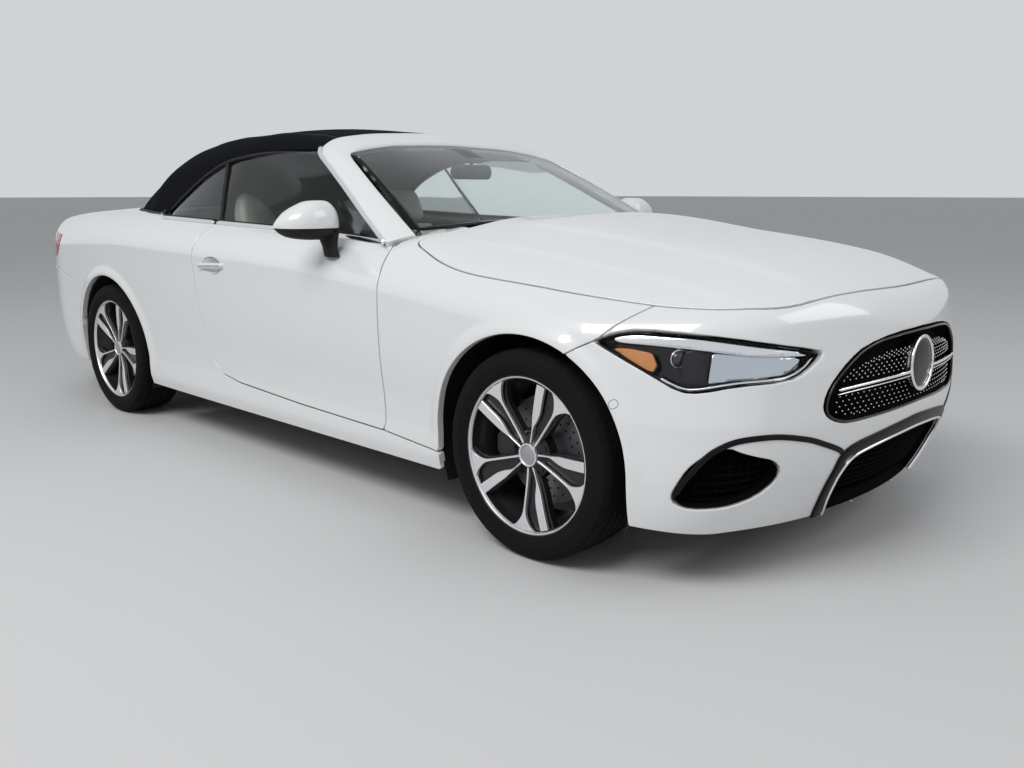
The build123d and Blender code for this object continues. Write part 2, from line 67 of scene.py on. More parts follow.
def curve(points):
    """Smooth function through (input, value...) rows: cubic with limited slopes, flat beyond the ends."""
    table = np.array(points, float)
    xs, ys = table[:, 0], table[:, 1:]
    d = np.diff(ys, axis=0) / np.diff(xs)[:, None]
    m = np.zeros_like(ys)
    if len(xs) > 2:
        same = d[1:] * d[:-1] > 0
        w1 = (2 * np.diff(xs)[1:] + np.diff(xs)[:-1])[:, None]
        w2 = (np.diff(xs)[1:] + 2 * np.diff(xs)[:-1])[:, None]
        with np.errstate(divide="ignore", invalid="ignore"):
            mean = (w1 + w2) / (w1 / d[:-1] + w2 / d[1:])
        m[1:-1] = np.where(same, mean, 0)
    m[0], m[-1] = d[0], d[-1]

    def value(x):
        x = np.clip(x, xs[0], xs[-1])
        i = np.clip(np.searchsorted(xs, x) - 1, 0, len(xs) - 2)
        h = xs[i + 1] - xs[i]
        t = ((x - xs[i]) / h)[..., None]
        out = cubic(t, h[..., None], ys[i], m[i], ys[i + 1], m[i + 1])
        return out[..., 0] if out.shape[-1] == 1 else out

    return value


def step(x, a, b):
    """Smooth step, 0 at a and below, 1 at b and above."""
    t = np.clip((x - a) / (b - a), 0, 1)
    return t * t * (3 - 2 * t)


def rmax(a, b, r):
    """Larger of two distances, rounded with radius r where both are near."""
    u, v = np.maximum(a + r, 0), np.maximum(b + r, 0)
    return np.where((u > 0) & (v > 0), np.hypot(u, v) - r, np.maximum(a, b))


def sdf(outline, p, q):
    """Signed distance inside a closed outline, positive within."""
    pts = np.array(outline, float)
    best = np.full(p.shape, 1e9)
    inside = np.zeros(p.shape, bool)
    for (ax, ay), (bx, by) in zip(pts, np.roll(pts, -1, axis=0)):
        ex, ey = bx - ax, by - ay
        t = np.clip(((p - ax) * ex + (q - ay) * ey) / (ex * ex + ey * ey + 1e-12), 0, 1)
        best = np.minimum(best, np.hypot(p - ax - t * ex, q - ay - t * ey))
        if ay != by:
            cross = (ay > q) != (by > q)
            inside ^= cross & (p < ax + (q - ay) / (by - ay) * ex)
    return np.where(inside, best, -best)


def smooth(points, rounds=2, closed=True):
    """Corner-cutting: rounds off an outline's corners."""
    pts = np.array(points, float)
    for _ in range(rounds):
        nxt = np.roll(pts, -1, axis=0)
        new = np.empty((2 * len(pts), pts.shape[1]))
        new[0::2], new[1::2] = pts * 0.75 + nxt * 0.25, pts * 0.25 + nxt * 0.75
        if not closed:
            new = np.vstack((pts[:1], new[:-2], pts[-1:]))
        pts = new
    return pts


# ---- outer form ----
# Height, nose x, half width at the front corner, at the door, at the rear corner, tail x.
LEVELS = curve((
    (0.12, 2.262, 0.865, 0.862, 0.84, -2.28),
    (0.20, 2.306, 0.893, 0.893, 0.868, -2.325),
    (0.25, 2.330, 0.898, 0.903, 0.878, -2.352),
    (0.29, 2.348, 0.900, 0.900, 0.885, -2.375),
    (0.34, 2.370, 0.903, 0.894, 0.890, -2.400),
    (0.42, 2.393, 0.908, 0.898, 0.896, -2.420),
    (0.50, 2.404, 0.912, 0.908, 0.900, -2.425),
    (0.60, 2.404, 0.915, 0.919, 0.904, -2.418),
    (0.70, 2.394, 0.914, 0.925, 0.908, -2.402),
    (0.80, 2.378, 0.902, 0.926, 0.909, -2.385),
    (0.845, 2.369, 0.893, 0.927, 0.908, -2.375),
    (0.88, 2.362, 0.882, 0.916, 0.900, -2.368),
    (0.94, 2.346, 0.862, 0.888, 0.880, -2.358),
    (1.00, 2.330, 0.848, 0.860, 0.855, -2.348),
    (1.10, 2.305, 0.825, 0.815, 0.820, -2.330),
))
# Height, radius of the nose in plan, radius of its corners.
NOSE = curve(((0.12, 1.90, 0.16), (0.25, 1.85, 0.18), (0.45, 1.60, 0.24), (0.60, 1.45, 0.28),
    (0.72, 1.39, 0.30), (1.10, 1.39, 0.32)))
TAIL_R, TAIL_CORNER = 2.2, 0.32
# Height of the side's crease: x, height.
CREASE_Z = curve(((-2.3, 0.885), (-1.58, 0.886), (-0.84, 0.880), (0.46, 0.838), (1.0, 0.822),
    (1.43, 0.803), (1.7, 0.775), (2.3, 0.75)))
# Top form: x, then the height at each of these distances from the centre line.
TOP_Y = (0.0, 0.35, 0.60, 0.72, 0.80, 0.88, 0.95)
TOP = (
    (-2.46, 0.955, 0.950, 0.930, 0.900, 0.86, 0.80, 0.72),
    (-2.30, 0.995, 0.990, 0.972, 0.948, 0.91, 0.85, 0.77),
    (-2.00, 1.022, 1.017, 1.002, 0.985, 0.955, 0.89, 0.81),
    (-1.60, 1.040, 1.034, 1.018, 1.006, 0.982, 0.92, 0.84),
    (-1.10, 1.040, 1.034, 1.020, 1.010, 0.990, 0.935, 0.86),
    (-0.40, 1.020, 1.014, 1.002, 0.992, 0.975, 0.925, 0.85),
    (0.30, 1.000, 0.996, 0.984, 0.974, 0.955, 0.91, 0.83),
    (0.90, 0.992, 0.984, 0.968, 0.955, 0.925, 0.86, 0.78),
    (1.20, 0.984, 0.970, 0.936, 0.910, 0.880, 0.825, 0.75),
    (1.60, 0.957, 0.942, 0.900, 0.868, 0.835, 0.775, 0.70),
    (2.05, 0.907, 0.890, 0.842, 0.800, 0.755, 0.69, 0.62),
    (2.25, 0.862, 0.845, 0.790, 0.735, 0.68, 0.61, 0.54),
    (2.34, 0.812, 0.795, 0.725, 0.66, 0.60, 0.53, 0.46),
    (2.44, 0.690, 0.680, 0.60, 0.53, 0.47, 0.41, 0.35),
)
TOP_ROWS = curve(TOP)
TOP_DY = np.array(TOP_Y)


def top_height(x, y):
    """Height of the top form, smooth along x and across."""
    rows = TOP_ROWS(x)
    y = np.minimum(np.abs(y), TOP_DY[-1])
    i = np.clip(np.searchsorted(TOP_DY, y) - 1, 0, len(TOP_DY) - 2)
    take = lambda k: np.take_along_axis(rows, np.clip(k, 0, len(TOP_DY) - 1)[..., None], -1)[..., 0]
    y0, y1 = TOP_DY[i], TOP_DY[i + 1]
    a, b = take(i), take(i + 1)
    before, after = take(i - 1), take(i + 2)
    yb = TOP_DY[np.clip(i - 1, 0, 99)]
    ya = TOP_DY[np.clip(i + 2, 0, len(TOP_DY) - 1)]
    ma = np.where(i == 0, 0.0, (b - before) / np.where(y1 > yb, y1 - yb, 1))
    mb = np.where(i + 2 >= len(TOP_DY), (b - a) / (y1 - y0), (after - a) / np.where(ya > y0, ya - y0, 1))
    h = y1 - y0
    return cubic((y - y0) / h, h, a, ma, b, mb)


# Bonnet: x, then how far out the inner crease lies; x, then how much the middle is raised.
INNER_CREASE = curve(((1.05, 0.44), (1.38, 0.425), (1.60, 0.403), (1.89, 0.410), (2.09, 0.412),
    (2.30, 0.39)))
DOME = curve(((0.60, 0.0), (0.90, 0.034), (1.04, 0.039), (1.24, 0.039), (1.37, 0.035), (1.52, 0.025),
    (1.65, 0.018), (1.78, 0.016), (1.91, 0.014), (2.05, 0.010), (2.15, 0.004), (2.25, 0.0)))


def creases(x, y):
    """Height of the bonnet's dome and of its two raised fields, inside the inner and outer creases."""
    y, inner = np.abs(y), INNER_CREASE(x)
    field = 0.007 * (1 - step(y, inner - 0.008, inner + 0.050)) * (1 - step(x, 2.12, 2.27))
    field = field + 0.005 * (1 - step(y, 0.630, 0.668)) * (1 - step(x, 2.05, 2.20))
    return step(x, 1.05, 1.25) * field + DOME(x) * (1 - step(y, 0.30, 0.80))


def form(p):
    """About the signed distance to the painted skin, negative inside."""
    x, y, z = p[..., 0], np.abs(p[..., 1]), p[..., 2]
    zz = z + (0.845 - CREASE_Z(x)) * step(z, 0.35, 0.60)
    nose, front, door, rear, tail = np.moveaxis(LEVELS(zz), -1, 0)
    nose = LEVELS(z)[..., 0]
    nose_r, corner = np.moveaxis(NOSE(z), -1, 0)
    front_x = nose - nose_r + np.sqrt(nose_r**2 - front**2)
    rear_x = tail + TAIL_R - np.sqrt(TAIL_R**2 - rear**2)
    u = np.where(x > 0, x / front_x, x / rear_x)
    width = door - (door - np.where(x > 0, front, rear)) * u * u
    for axle in (FRONT_X, REAR_X):
        r = np.hypot((x - axle + ARCH_SHIFT) / ARCH_STRETCH, z - TYRE_R)
        width = width + 0.011 * (1 - step(r, 0.380, 0.428)) * step(z, 0.2, 0.4)
    side = y - width
    d_nose = np.hypot(np.maximum(x - (nose - nose_r), 0), y) - nose_r
    d_tail = np.hypot(np.minimum(x - (tail + TAIL_R), 0), y) - TAIL_R
    body = np.where(x > 0, rmax(d_nose, side, corner), rmax(d_tail, side, TAIL_CORNER))
    top = (z - top_height(x, y) - creases(x, y)) * 0.92
    return rmax(body, top, 0.035)


def gradient(p, e=0.002, shape=form):
    """Slope of a function of position, along x, y and z."""
    out = np.empty_like(p)
    for k in range(3):
        d = np.zeros(3)
        d[k] = e
        out[:, k] = shape(p + d) - shape(p - d)
    return out / (2 * e)


def project(p, rounds=3, fixed_y=None, shape=form):
    """Moves points onto the skin."""
    p = np.array(p, float)
    for _ in range(rounds):
        g = gradient(p, shape=shape)
        if fixed_y is not None:
            g[fixed_y, 1] = 0
        p -= (shape(p) / np.maximum((g * g).sum(1), 0.2))[:, None] * g
    return p


def skin_mesh(h, shape=form, low=(-2.46, 0.14), high=(2.46, 0.97, 1.09)):
    """Half skin, y > 0, as vertices and triangles, one vertex for each grid cell that the skin crosses."""
    xs, ys, zs = np.arange(low[0], high[0], h), np.arange(-2 * h, high[1], h), np.arange(low[1], high[2], h)
    values = np.empty((len(xs), len(ys), len(zs)), np.float32)
    yy, zz = np.meshgrid(ys, zs, indexing="ij")
    for i in range(0, len(xs), 40):
        xx = xs[i:i + 40, None, None]
        grid = np.stack(np.broadcast_arrays(xx, yy[None], zz[None]), -1)
        values[i:i + 40] = shape(grid)
    inside = values < 0
    cells = np.zeros(tuple(n - 1 for n in inside.shape), np.uint8)
    corners = [(a, b, c) for a in (0, 1) for b in (0, 1) for c in (0, 1)]
    n0, n1, n2 = cells.shape
    for a, b, c in corners:
        cells += inside[a:a + n0, b:b + n1, c:c + n2]
    active = (cells > 0) & (cells < 8)
    index = np.full(cells.shape, -1, np.int64)
    at = np.argwhere(active)
    index[tuple(at.T)] = np.arange(len(at))
    total, count = np.zeros((len(at), 3)), np.zeros(len(at))
    for a in corners:
        for k in range(3):
            if a[k]:
                continue
            b = list(a)
            b[k] = 1
            va, vb = values[tuple((at + a).T)], values[tuple((at + b).T)]
            cross = (va < 0) != (vb < 0)
            t = np.where(cross, va / np.where(cross, va - vb, 1), 0)
            point = at + np.array(a, float)
            point[:, k] += t
            total += point * cross[:, None]
            count += cross
    verts = total / count[:, None] * h + np.array((xs[0], ys[0], zs[0]))
    tris = []
    for k in range(3):
        low = [slice(None)] * 3
        high = [slice(None)] * 3
        low[k], high[k] = slice(0, -1), slice(1, None)
        cross = inside[tuple(low)] != inside[tuple(high)]
        e = np.argwhere(cross)
        i, j = (k + 1) % 3, (k + 2) % 3
        keep = (e[:, i] > 0) & (e[:, j] > 0) & (e[:, i] < cells.shape[i]) & (e[:,
            j] < cells.shape[j]) & (e[:, k] < cells.shape[k])
        e = e[keep]
        quad = []
        for di, dj in ((0, 0), (1, 0), (1, 1), (0, 1)):
            c = e.copy()
            c[:, i] -= 1 - di
            c[:, j] -= 1 - dj
            quad.append(index[tuple(c.T)])
        quad = np.stack(quad, 1)
        flip = ~inside[tuple(e.T)]
        quad[flip] = quad[flip][:, ::-1]
        quad = quad[(quad >= 0).all(1)]
        tris += [quad[:, [0, 1, 2]], quad[:, [0, 2, 3]]]
    return project(verts, shape=shape), np.concatenate(tris)


def cut(verts, tris, value, level=0.0, drop=False):
    """Cuts triangles along a level of a function of position. With drop, the part below goes."""
    v = value(verts) - level
    v = np.where(np.abs(v) < 1e-6, 1e-6, v)
    pos = v > 0
    s = pos[tris]
    n = s.sum(1)
    whole = tris[(n == 3) | ((n == 0) & (not drop))]
    parts = [whole]
    mixed = tris[(n == 1) | (n == 2)]
    if len(mixed):
        sm = pos[mixed]
        lone = np.where(sm.sum(1) == 1, sm.argmax(1), (~sm).argmax(1))
        r = np.arange(len(mixed))
        a, b, c = mixed[r, lone], mixed[r, (lone + 1) % 3], mixed[r, (lone + 2) % 3]
        e1, e2 = np.stack((np.minimum(a, b), np.maximum(a, b)), 1), np.stack((np.minimum(a, c),
            np.maximum(a, c)), 1)
        edges, inv = np.unique(np.concatenate((e1, e2)), axis=0, return_inverse=True)
        inv = inv.reshape(-1)
        t = v[edges[:, 0]] / (v[edges[:, 0]] - v[edges[:, 1]])
        points = verts[edges[:, 0]] * (1 - t[:, None]) + verts[edges[:, 1]] * t[:, None]
        ab, ac = inv[:len(mixed)] + len(verts), inv[len(mixed):] + len(verts)
        lone_pos = pos[a]
        near, far1, far2 = np.stack((a, ab, ac), 1), np.stack((ab, b, c), 1), np.stack((ab, c, ac), 1)
        if drop:
            parts += [near[lone_pos], far1[~lone_pos], far2[~lone_pos]]
        else:
            parts += [near, far1, far2]
        verts = np.concatenate((verts, points))
    return verts, np.concatenate(parts)


def packed(verts, tris):
    """The mesh without the vertices that no triangle uses."""
    used, inv = np.unique(tris, return_inverse=True)
    return verts[used], inv.reshape(tris.shape)


# ---- materials ----
COAT_ROUGH = 0.04
VARY_SCALE, BUMP_DEPTH = 9.0, 0.001


def material(name, color, metallic=0.0, rough=0.5, coat=0.0, **more):
    """Principled material. bump: (scale, strength, kind); vary: how much noise changes the roughness."""
    m = bpy.data.materials.new(name)
    m.use_nodes = True
    nodes, links = m.node_tree.nodes, m.node_tree.links
    b = nodes["Principled BSDF"]
    b.inputs["Base Color"].default_value = (*color, 1)
    for socket, value in (("Metallic", metallic), ("Roughness", rough), ("Coat Weight", coat),
            ("Coat Roughness", COAT_ROUGH), ("Specular IOR Level", more.get("spec", 0.5)),
            ("IOR", more.get("ior", 1.5)), ("Transmission Weight", more.get("transmission", 0.0))):
        b.inputs[socket].default_value = value
    place = nodes.new("ShaderNodeTexCoord")
    if "vary" in more:
        noise, spread = nodes.new("ShaderNodeTexNoise"), nodes.new("ShaderNodeMapRange")
        noise.inputs["Scale"].default_value = VARY_SCALE
        links.new(place.outputs["Object"], noise.inputs["Vector"])
        spread.inputs["To Min"].default_value = max(rough - more["vary"], 0.0)
        spread.inputs["To Max"].default_value = rough + more["vary"]
        links.new(noise.outputs["Fac"], spread.inputs["Value"])
        links.new(spread.outputs["Result"], b.inputs["Roughness"])
    if "bump" in more:
        scale, strength, kind = more["bump"]
        tex = nodes.new("ShaderNodeTexVoronoi" if kind == "cells" else "ShaderNodeTexNoise")
        tex.inputs["Scale"].default_value = scale
        links.new(place.outputs["Object"], tex.inputs["Vector"])
        bump = nodes.new("ShaderNodeBump")
        bump.inputs["Strength"].default_value = strength
        bump.inputs["Distance"].default_value = BUMP_DEPTH
        links.new(tex.outputs[0], bump.inputs["Height"])
        links.new(bump.outputs["Normal"], b.inputs["Normal"])
    return m


def let_light_through(m, tint):
    """Shadow and diffuse rays pass straight through, a little tinted."""
    nodes, links = m.node_tree.nodes, m.node_tree.links
    path, either, clear, mix = (nodes.new("ShaderNode" + kind) for kind in ("LightPath", "Math",
        "BsdfTransparent", "MixShader"))
    either.operation = "MAXIMUM"
    clear.inputs["Color"].default_value = (*tint, 1)
    for a, b in ((path.outputs["Is Shadow Ray"], either.inputs[0]), (path.outputs["Is Diffuse Ray"],
            either.inputs[1]), (either.outputs[0], mix.inputs[0]), (nodes["Principled BSDF"].outputs[0],
            mix.inputs[1]), (clear.outputs[0], mix.inputs[2]),
            (mix.outputs[0], nodes["Material Output"].inputs[0])):
        links.new(a, b)
    return m


PAINT = material("white_paint", (0.74, 0.75, 0.75), 0.0, 0.30, 1.0)
BLACK = material("black_plastic", (0.010, 0.010, 0.011), 0.0, 0.6, spec=0.25, bump=(900, 0.15, "noise"))
GLOSS = material("black_gloss", (0.006, 0.006, 0.008), 0.0, 0.14, 0.3, spec=0.35, vary=0.03)
CHROME = material("chrome", (0.88, 0.88, 0.89), 1.0, 0.16, vary=0.03)
SILVER = material("machined_silver", (0.80, 0.80, 0.81), 0.85, 0.36, vary=0.05)
WHEEL_BLACK = material("wheel_black", (0.010, 0.010, 0.011), 0.0, 0.32, 0.2, spec=0.3, vary=0.05)
RUBBER = material("tyre_rubber", (0.006, 0.006, 0.0065), 0.0, 0.80, spec=0.12, bump=(500, 0.2, "noise"),
    vary=0.08)
GLASS = let_light_through(material("window_glass", (0.90, 0.96, 0.94), 0.0, 0.02, transmission=1.0,
    ior=1.25, vary=0.01), (0.86, 0.92, 0.90))
LENS = let_light_through(material("lamp_lens", (0.97, 0.98, 1.0), 0.0, 0.02, transmission=1.0, ior=1.18,
    vary=0.01), (0.95, 0.96, 0.98))
RED_LENS = material("red_lens", (0.30, 0.004, 0.006), 0.0, 0.12, 0.9, vary=0.03)
AMBER = material("amber_reflector", (0.50, 0.18, 0.03), 0.0, 0.25, 0.3, bump=(600, 0.6, "cells"))
STEEL = material("brake_steel", (0.30, 0.30, 0.31), 1.0, 0.38, vary=0.08)
IRON = material("dark_cast", (0.07, 0.07, 0.075), 0.6, 0.6, bump=(160, 0.3, "noise"))
DARK = material("dark_satin", (0.05, 0.05, 0.055), 0.2, 0.55, bump=(60, 0.1, "noise"))
FABRIC = material("roof_fabric", (0.0050, 0.0054, 0.0078), 0.0, 0.95, spec=0.06, bump=(1400, 0.5, "noise"))
LINING = material("headlining", (0.22, 0.22, 0.215), 0.0, 0.95, bump=(900, 0.2, "noise"))
LEATHER = material("grey_leather", (0.52, 0.49, 0.44), 0.0, 0.48, bump=(420, 0.25, "cells"), vary=0.06)
DASH = material("dash_dark", (0.020, 0.020, 0.022), 0.0, 0.6, bump=(700, 0.2, "noise"))
CARPET = material("carpet", (0.03, 0.03, 0.032), 0.0, 0.95, bump=(1200, 0.5, "noise"))
PROJECTOR = material("projector_glass", (0.015, 0.018, 0.028), 0.2, 0.05, 1.0, vary=0.02)
# Near black with hardly any gloss: the grille's face, black mesh and frit, and painted shade on the backs
# that close the lower grille and intakes.
VOID = material("deep_black", (0.003, 0.003, 0.003), 0.0, 0.9, spec=0.05, bump=(300, 0.1, "noise"))
FRAME_BLACK = material("frame_black", (0.005, 0.005, 0.006), 0.0, 0.35, spec=0.15, vary=0.03)
BRAKE = material("brake_iron", (0.30, 0.30, 0.31), 0.9, 0.50, vary=0.08)
CAST = material("cast_alloy", (0.40, 0.41, 0.42), 0.8, 0.5, bump=(200, 0.2, "noise"))


# ---- meshes ----
def make(name, verts, faces, mat, body, slot, normals=None, sharp=None):
    """Visible piece that rides on a body. sharp: angle in degrees from which its edges stay sharp."""
    mesh = bpy.data.meshes.new(name)
    mesh.from_pydata([tuple(map(float, v)) for v in verts], [], [tuple(map(int, f)) for f in faces])
    mesh.update()
    mesh.shade_smooth()
    if sharp is not None:
        mesh.set_sharp_from_angle(angle=math.radians(sharp))
    obj = bpy.data.objects.new(name, mesh)
    bpy.context.collection.objects.link(obj)
    mesh.materials.append(mat)
    if normals is not None:
        mesh.normals_split_custom_set_from_vertices([tuple(map(float, n)) for n in normals])
    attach(obj, body)
    return obj


def flipped(verts, faces):
    """Mirror image on the other side of the centre plane."""
    return np.asarray(verts) * (1, -1, 1), [tuple(reversed(f)) for f in faces]


SKIN = (*skin_mesh(STEP), form, STEP)
LINING_SKIN = (*skin_mesh(LINING_STEP), form, LINING_STEP)


def edge_list(tris):
    """Open edges, in the direction of their triangle."""
    e = np.concatenate((tris[:, [0, 1]], tris[:, [1, 2]], tris[:, [2, 0]]))
    key = np.sort(e, 1)
    _, inv, count = np.unique(key, axis=0, return_inverse=True, return_counts=True)
    return e[count[inv.reshape(-1)] == 1]


def with_mirror_image(verts, faces, normals, seam):
    """Half mesh joined to its mirror image at the vertices marked as seam."""
    normals[seam, 1] = 0
    twin = np.arange(len(verts))
    twin[~seam] = len(verts) + np.arange((~seam).sum())
    verts, normals = (np.concatenate((part, part[~seam] * (1, -1, 1))) for part in (verts, normals))
    return verts, faces + [tuple(int(twin[i]) for i in reversed(f)) for f in faces], normals


def panel_mesh(field, gap=GAP / 2, depth=0.014, both=False, offset=0.0, roll=ROLL, base=SKIN):
    """Part of the skin where field > 0, less the gap, with rolled edges and a flange.
    both: the piece crosses the centre plane, so the half is mirrored and joined."""
    skin_v, skin_t, shape, h = base
    region = lambda p: field(p) - gap
    near = region(skin_v) > -2.5 * h
    tris = skin_t[near[skin_t].any(1)]
    v, t = packed(skin_v, tris)
    if both:
        v, t = cut(v, t, lambda p: p[:, 1], 0.0, drop=True)
        v, t = packed(v, t)
        v[np.abs(v[:, 1]) < 1e-5, 1] = 0.0
    v, t = cut(v, t, region, 0.0, drop=True)
    for level in (roll * 0.3, roll):
        v, t = cut(v, t, region, level)
    v, t = packed(v, t)
    seam = (v[:, 1] == 0.0) if both else np.zeros(len(v), bool)
    v = project(v, 1, fixed_y=seam, shape=shape)
    n = gradient(v, shape=shape)
    n /= np.linalg.norm(n, axis=1)[:, None]
    d = np.clip(region(v), 0, roll)
    e = edge_list(t)
    e = e[~(seam[e[:, 0]] & seam[e[:, 1]])]
    # Outward direction along the skin, from the region's own slope.
    g = np.empty_like(v)
    for k in range(3):
        q = np.zeros(3)
        q[k] = 0.001
        g[:, k] = region(v - q) - region(v + q)
    g -= (g * n).sum(1)[:, None] * n
    length = np.linalg.norm(g, axis=1)[:, None]
    out = np.where(length > 1e-6, g / np.maximum(length, 1e-9), 0)
    turn = np.arcsin(1 - d / roll)[:, None]
    shade = n * np.cos(turn) + out * np.sin(turn)
    moved = v + n * offset - n * (roll - np.sqrt(np.maximum(roll**2 - (roll - d)**2, 0)))[:, None]
    rim, inv = np.unique(e, return_inverse=True)
    inv = inv.reshape(e.shape) + len(v)
    inner = v[rim] + n[rim] * (offset - depth)
    wall = np.stack((e[:, 1], e[:, 0], inv[:, 0], inv[:, 1]), 1)
    verts = np.concatenate((moved, inner))
    shade = np.concatenate((shade, out[rim]))
    faces = [tuple(f) for f in t] + [tuple(f) for f in wall]
    if both:
        verts, faces, shade = with_mirror_image(verts, faces, shade,
            np.concatenate((seam, inner[:, 1] == 0.0)))
    shade /= np.maximum(np.linalg.norm(shade, axis=1)[:, None], 1e-9)
    return verts, faces, shade


def panel(name, field, mat, body, slot, node=None, **how):
    """Panel across the centre plane."""
    v, f, n = panel_mesh(field, both=True, **how)
    obj = make(name, v, f, mat, body, slot, normals=n)
    if node:
        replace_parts(obj, node)
    return obj


def panel_pair(name, field, mat, bodies, slot, nodes=None, **how):
    """Left and right panels."""
    v, f, n = panel_mesh(field, **how)
    left = make(name + "_left", v, f, mat, bodies[0], slot, normals=n)
    rv, rf = flipped(v, f)
    right = make(name + "_right", rv, rf, mat, bodies[1], slot, normals=n * (1, -1, 1))
    if nodes:
        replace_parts(left, nodes[0])
        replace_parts(right, nodes[-1])
    return left, right


def in_side(outline, low_y=0.0):
    """Field of an (x, z) outline, for y over low_y. A field is positive within and about a distance."""
    pts = np.array(outline, float)
    return lambda p: np.minimum(sdf(pts, p[:, 0], p[:, 2]), p[:, 1] - low_y)


def in_plan(outline, low_z=0.0):
    """Outline of the left half, from the centre plane out and back to it."""
    pts = np.array(list(outline) + [(outline[-1][0], -0.2), (outline[0][0], -0.2)], float)
    return lambda p: np.minimum(sdf(pts, p[:, 0], p[:, 1]), p[:, 2] - low_z)


def in_front(outline, low_x=0.0):
    """Field of a (y, z) outline, for x over low_x."""
    pts = np.array(outline, float)
    return lambda p: np.minimum(sdf(pts, p[:, 1], p[:, 2]), p[:, 0] - low_x)


def outside(*fields):
    return lambda p: -np.max([f(p) for f in fields], axis=0)


def both_of(*fields):
    return lambda p: np.min([f(p) for f in fields], axis=0)


def arch_field(axle):
    """Positive in the opening round a wheel."""
    def value(p):
        dx, dz = np.abs(p[:, 0] - axle + ARCH_SHIFT) / ARCH_STRETCH, p[:, 2] - TYRE_R
        return ARCH_R - np.where(dz > 0, np.hypot(dx, dz), dx)
    return value


# Lower edge of the skin: x, height.
LOW_EDGE = curve(((-2.43, 0.235), (-1.66, 0.215), (-0.9, 0.196), (1.2, 0.196), (1.95, 0.192),
    (2.15, 0.175), (2.25, 0.162), (2.40, 0.156)))
above = lambda p: p[:, 2] - LOW_EDGE(p[:, 0])

# ---- shut lines: (x, y) for what is seen from above, (x, z) from the side, (y, z) from the front ----
BONNET = smooth(((1.036, 0.0), (1.03, 0.15), (1.005, 0.40), (0.965, 0.66), (0.930, 0.745), (0.955, 0.775),
    (1.022, 0.795), (1.12, 0.818), (1.25, 0.830), (1.38, 0.825), (1.50, 0.818), (1.728, 0.801),
    (1.944, 0.764), (2.05, 0.725), (2.137, 0.678), (2.235, 0.582), (2.284, 0.40), (2.309, 0.20),
    (2.316, 0.05), (2.316, 0.0)), 2, closed=False)
BOOT = smooth(((-1.666, 0.0), (-1.666, 0.53), (-1.69, 0.575), (-1.76, 0.598), (-2.15, 0.592),
    (-2.27, 0.56), (-2.32, 0.50), (-2.345, 0.446), (-2.50, 0.446), (-2.50, 0.0)), 2, closed=False)
DECK = ((-1.655, 0.0), (-1.655, 0.62), (-1.62, 0.665), (-1.56, 0.69), (-1.246, 0.714), (-1.246, 0.0))
DOOR_FRONT = ((0.838, 1.10), (0.838, 0.965), (0.865, 0.912), (0.899, 0.835), (0.907, 0.78), (0.908, 0.65),
    (0.905, 0.50), (0.906, 0.31))
DOOR_BOTTOM = ((0.893, 0.285), (0.376, 0.298), (-0.087, 0.319), (-0.215, 0.338))
DOOR_REAR = ((-0.275, 0.385), (-0.325, 0.51), (-0.355, 0.66), (-0.372, 0.80), (-0.372, 1.10))
DOOR = DOOR_FRONT + DOOR_BOTTOM + DOOR_REAR
NOSE_SPLIT = ((1.70, 0.650), (1.743, 0.657), (1.780, 0.680), (1.819, 0.700), (1.840, 0.712),
    (1.877, 0.749), (1.944, 0.803), (1.974, 1.1))
LAMP = smooth(((1.829, 0.702), (1.833, 0.706), (1.876, 0.729), (1.948, 0.744), (2.096, 0.736),
    (2.217, 0.718), (2.303, 0.688), (2.311, 0.672), (2.295, 0.630), (2.276, 0.610), (2.196, 0.603),
    (2.119, 0.583), (2.072, 0.584), (1.996, 0.626), (1.910, 0.666)), 1)
TAIL_LAMP = smooth(((-1.862, 0.893), (-1.845, 0.850), (-1.92, 0.770), (-2.04, 0.750), (-2.60, 0.760),
    (-2.60, 0.900)), 1)
GRILLE = smooth(((0.0, 0.712), (0.180, 0.708), (0.321, 0.684), (0.392, 0.648), (0.446, 0.604),
    (0.478, 0.559), (0.486, 0.520), (0.468, 0.496), (0.431, 0.479), (0.382, 0.471), (0.246, 0.477),
    (0.0, 0.486)), 1, closed=False)
LOW_GRILLE = ((0.0, 0.400), (0.10, 0.394), (0.20, 0.384), (0.305, 0.369), (0.340, 0.350), (0.356, 0.320),
    (0.358, 0.280), (0.348, 0.225), (0.322, 0.166), (0.0, 0.166))
INTAKE = smooth(((0.845, 0.297), (0.838, 0.335), (0.824, 0.378), (0.803, 0.408), (0.780, 0.430),
    (0.752, 0.436), (0.733, 0.424), (0.694, 0.409), (0.631, 0.391), (0.603, 0.360), (0.608, 0.325),
    (0.650, 0.285), (0.713, 0.267), (0.771, 0.262), (0.813, 0.262), (0.837, 0.274)), 1)
SIDE_FRAME = DOOR_REAR[::-1] + DOOR_BOTTOM[::-1] + ((1.24, 0.258), (1.24, 0.14), (-1.66, 0.14))
TAIL_SPLIT = ((-1.66, 0.632), (-1.90, 0.700), (-2.60, 0.740))

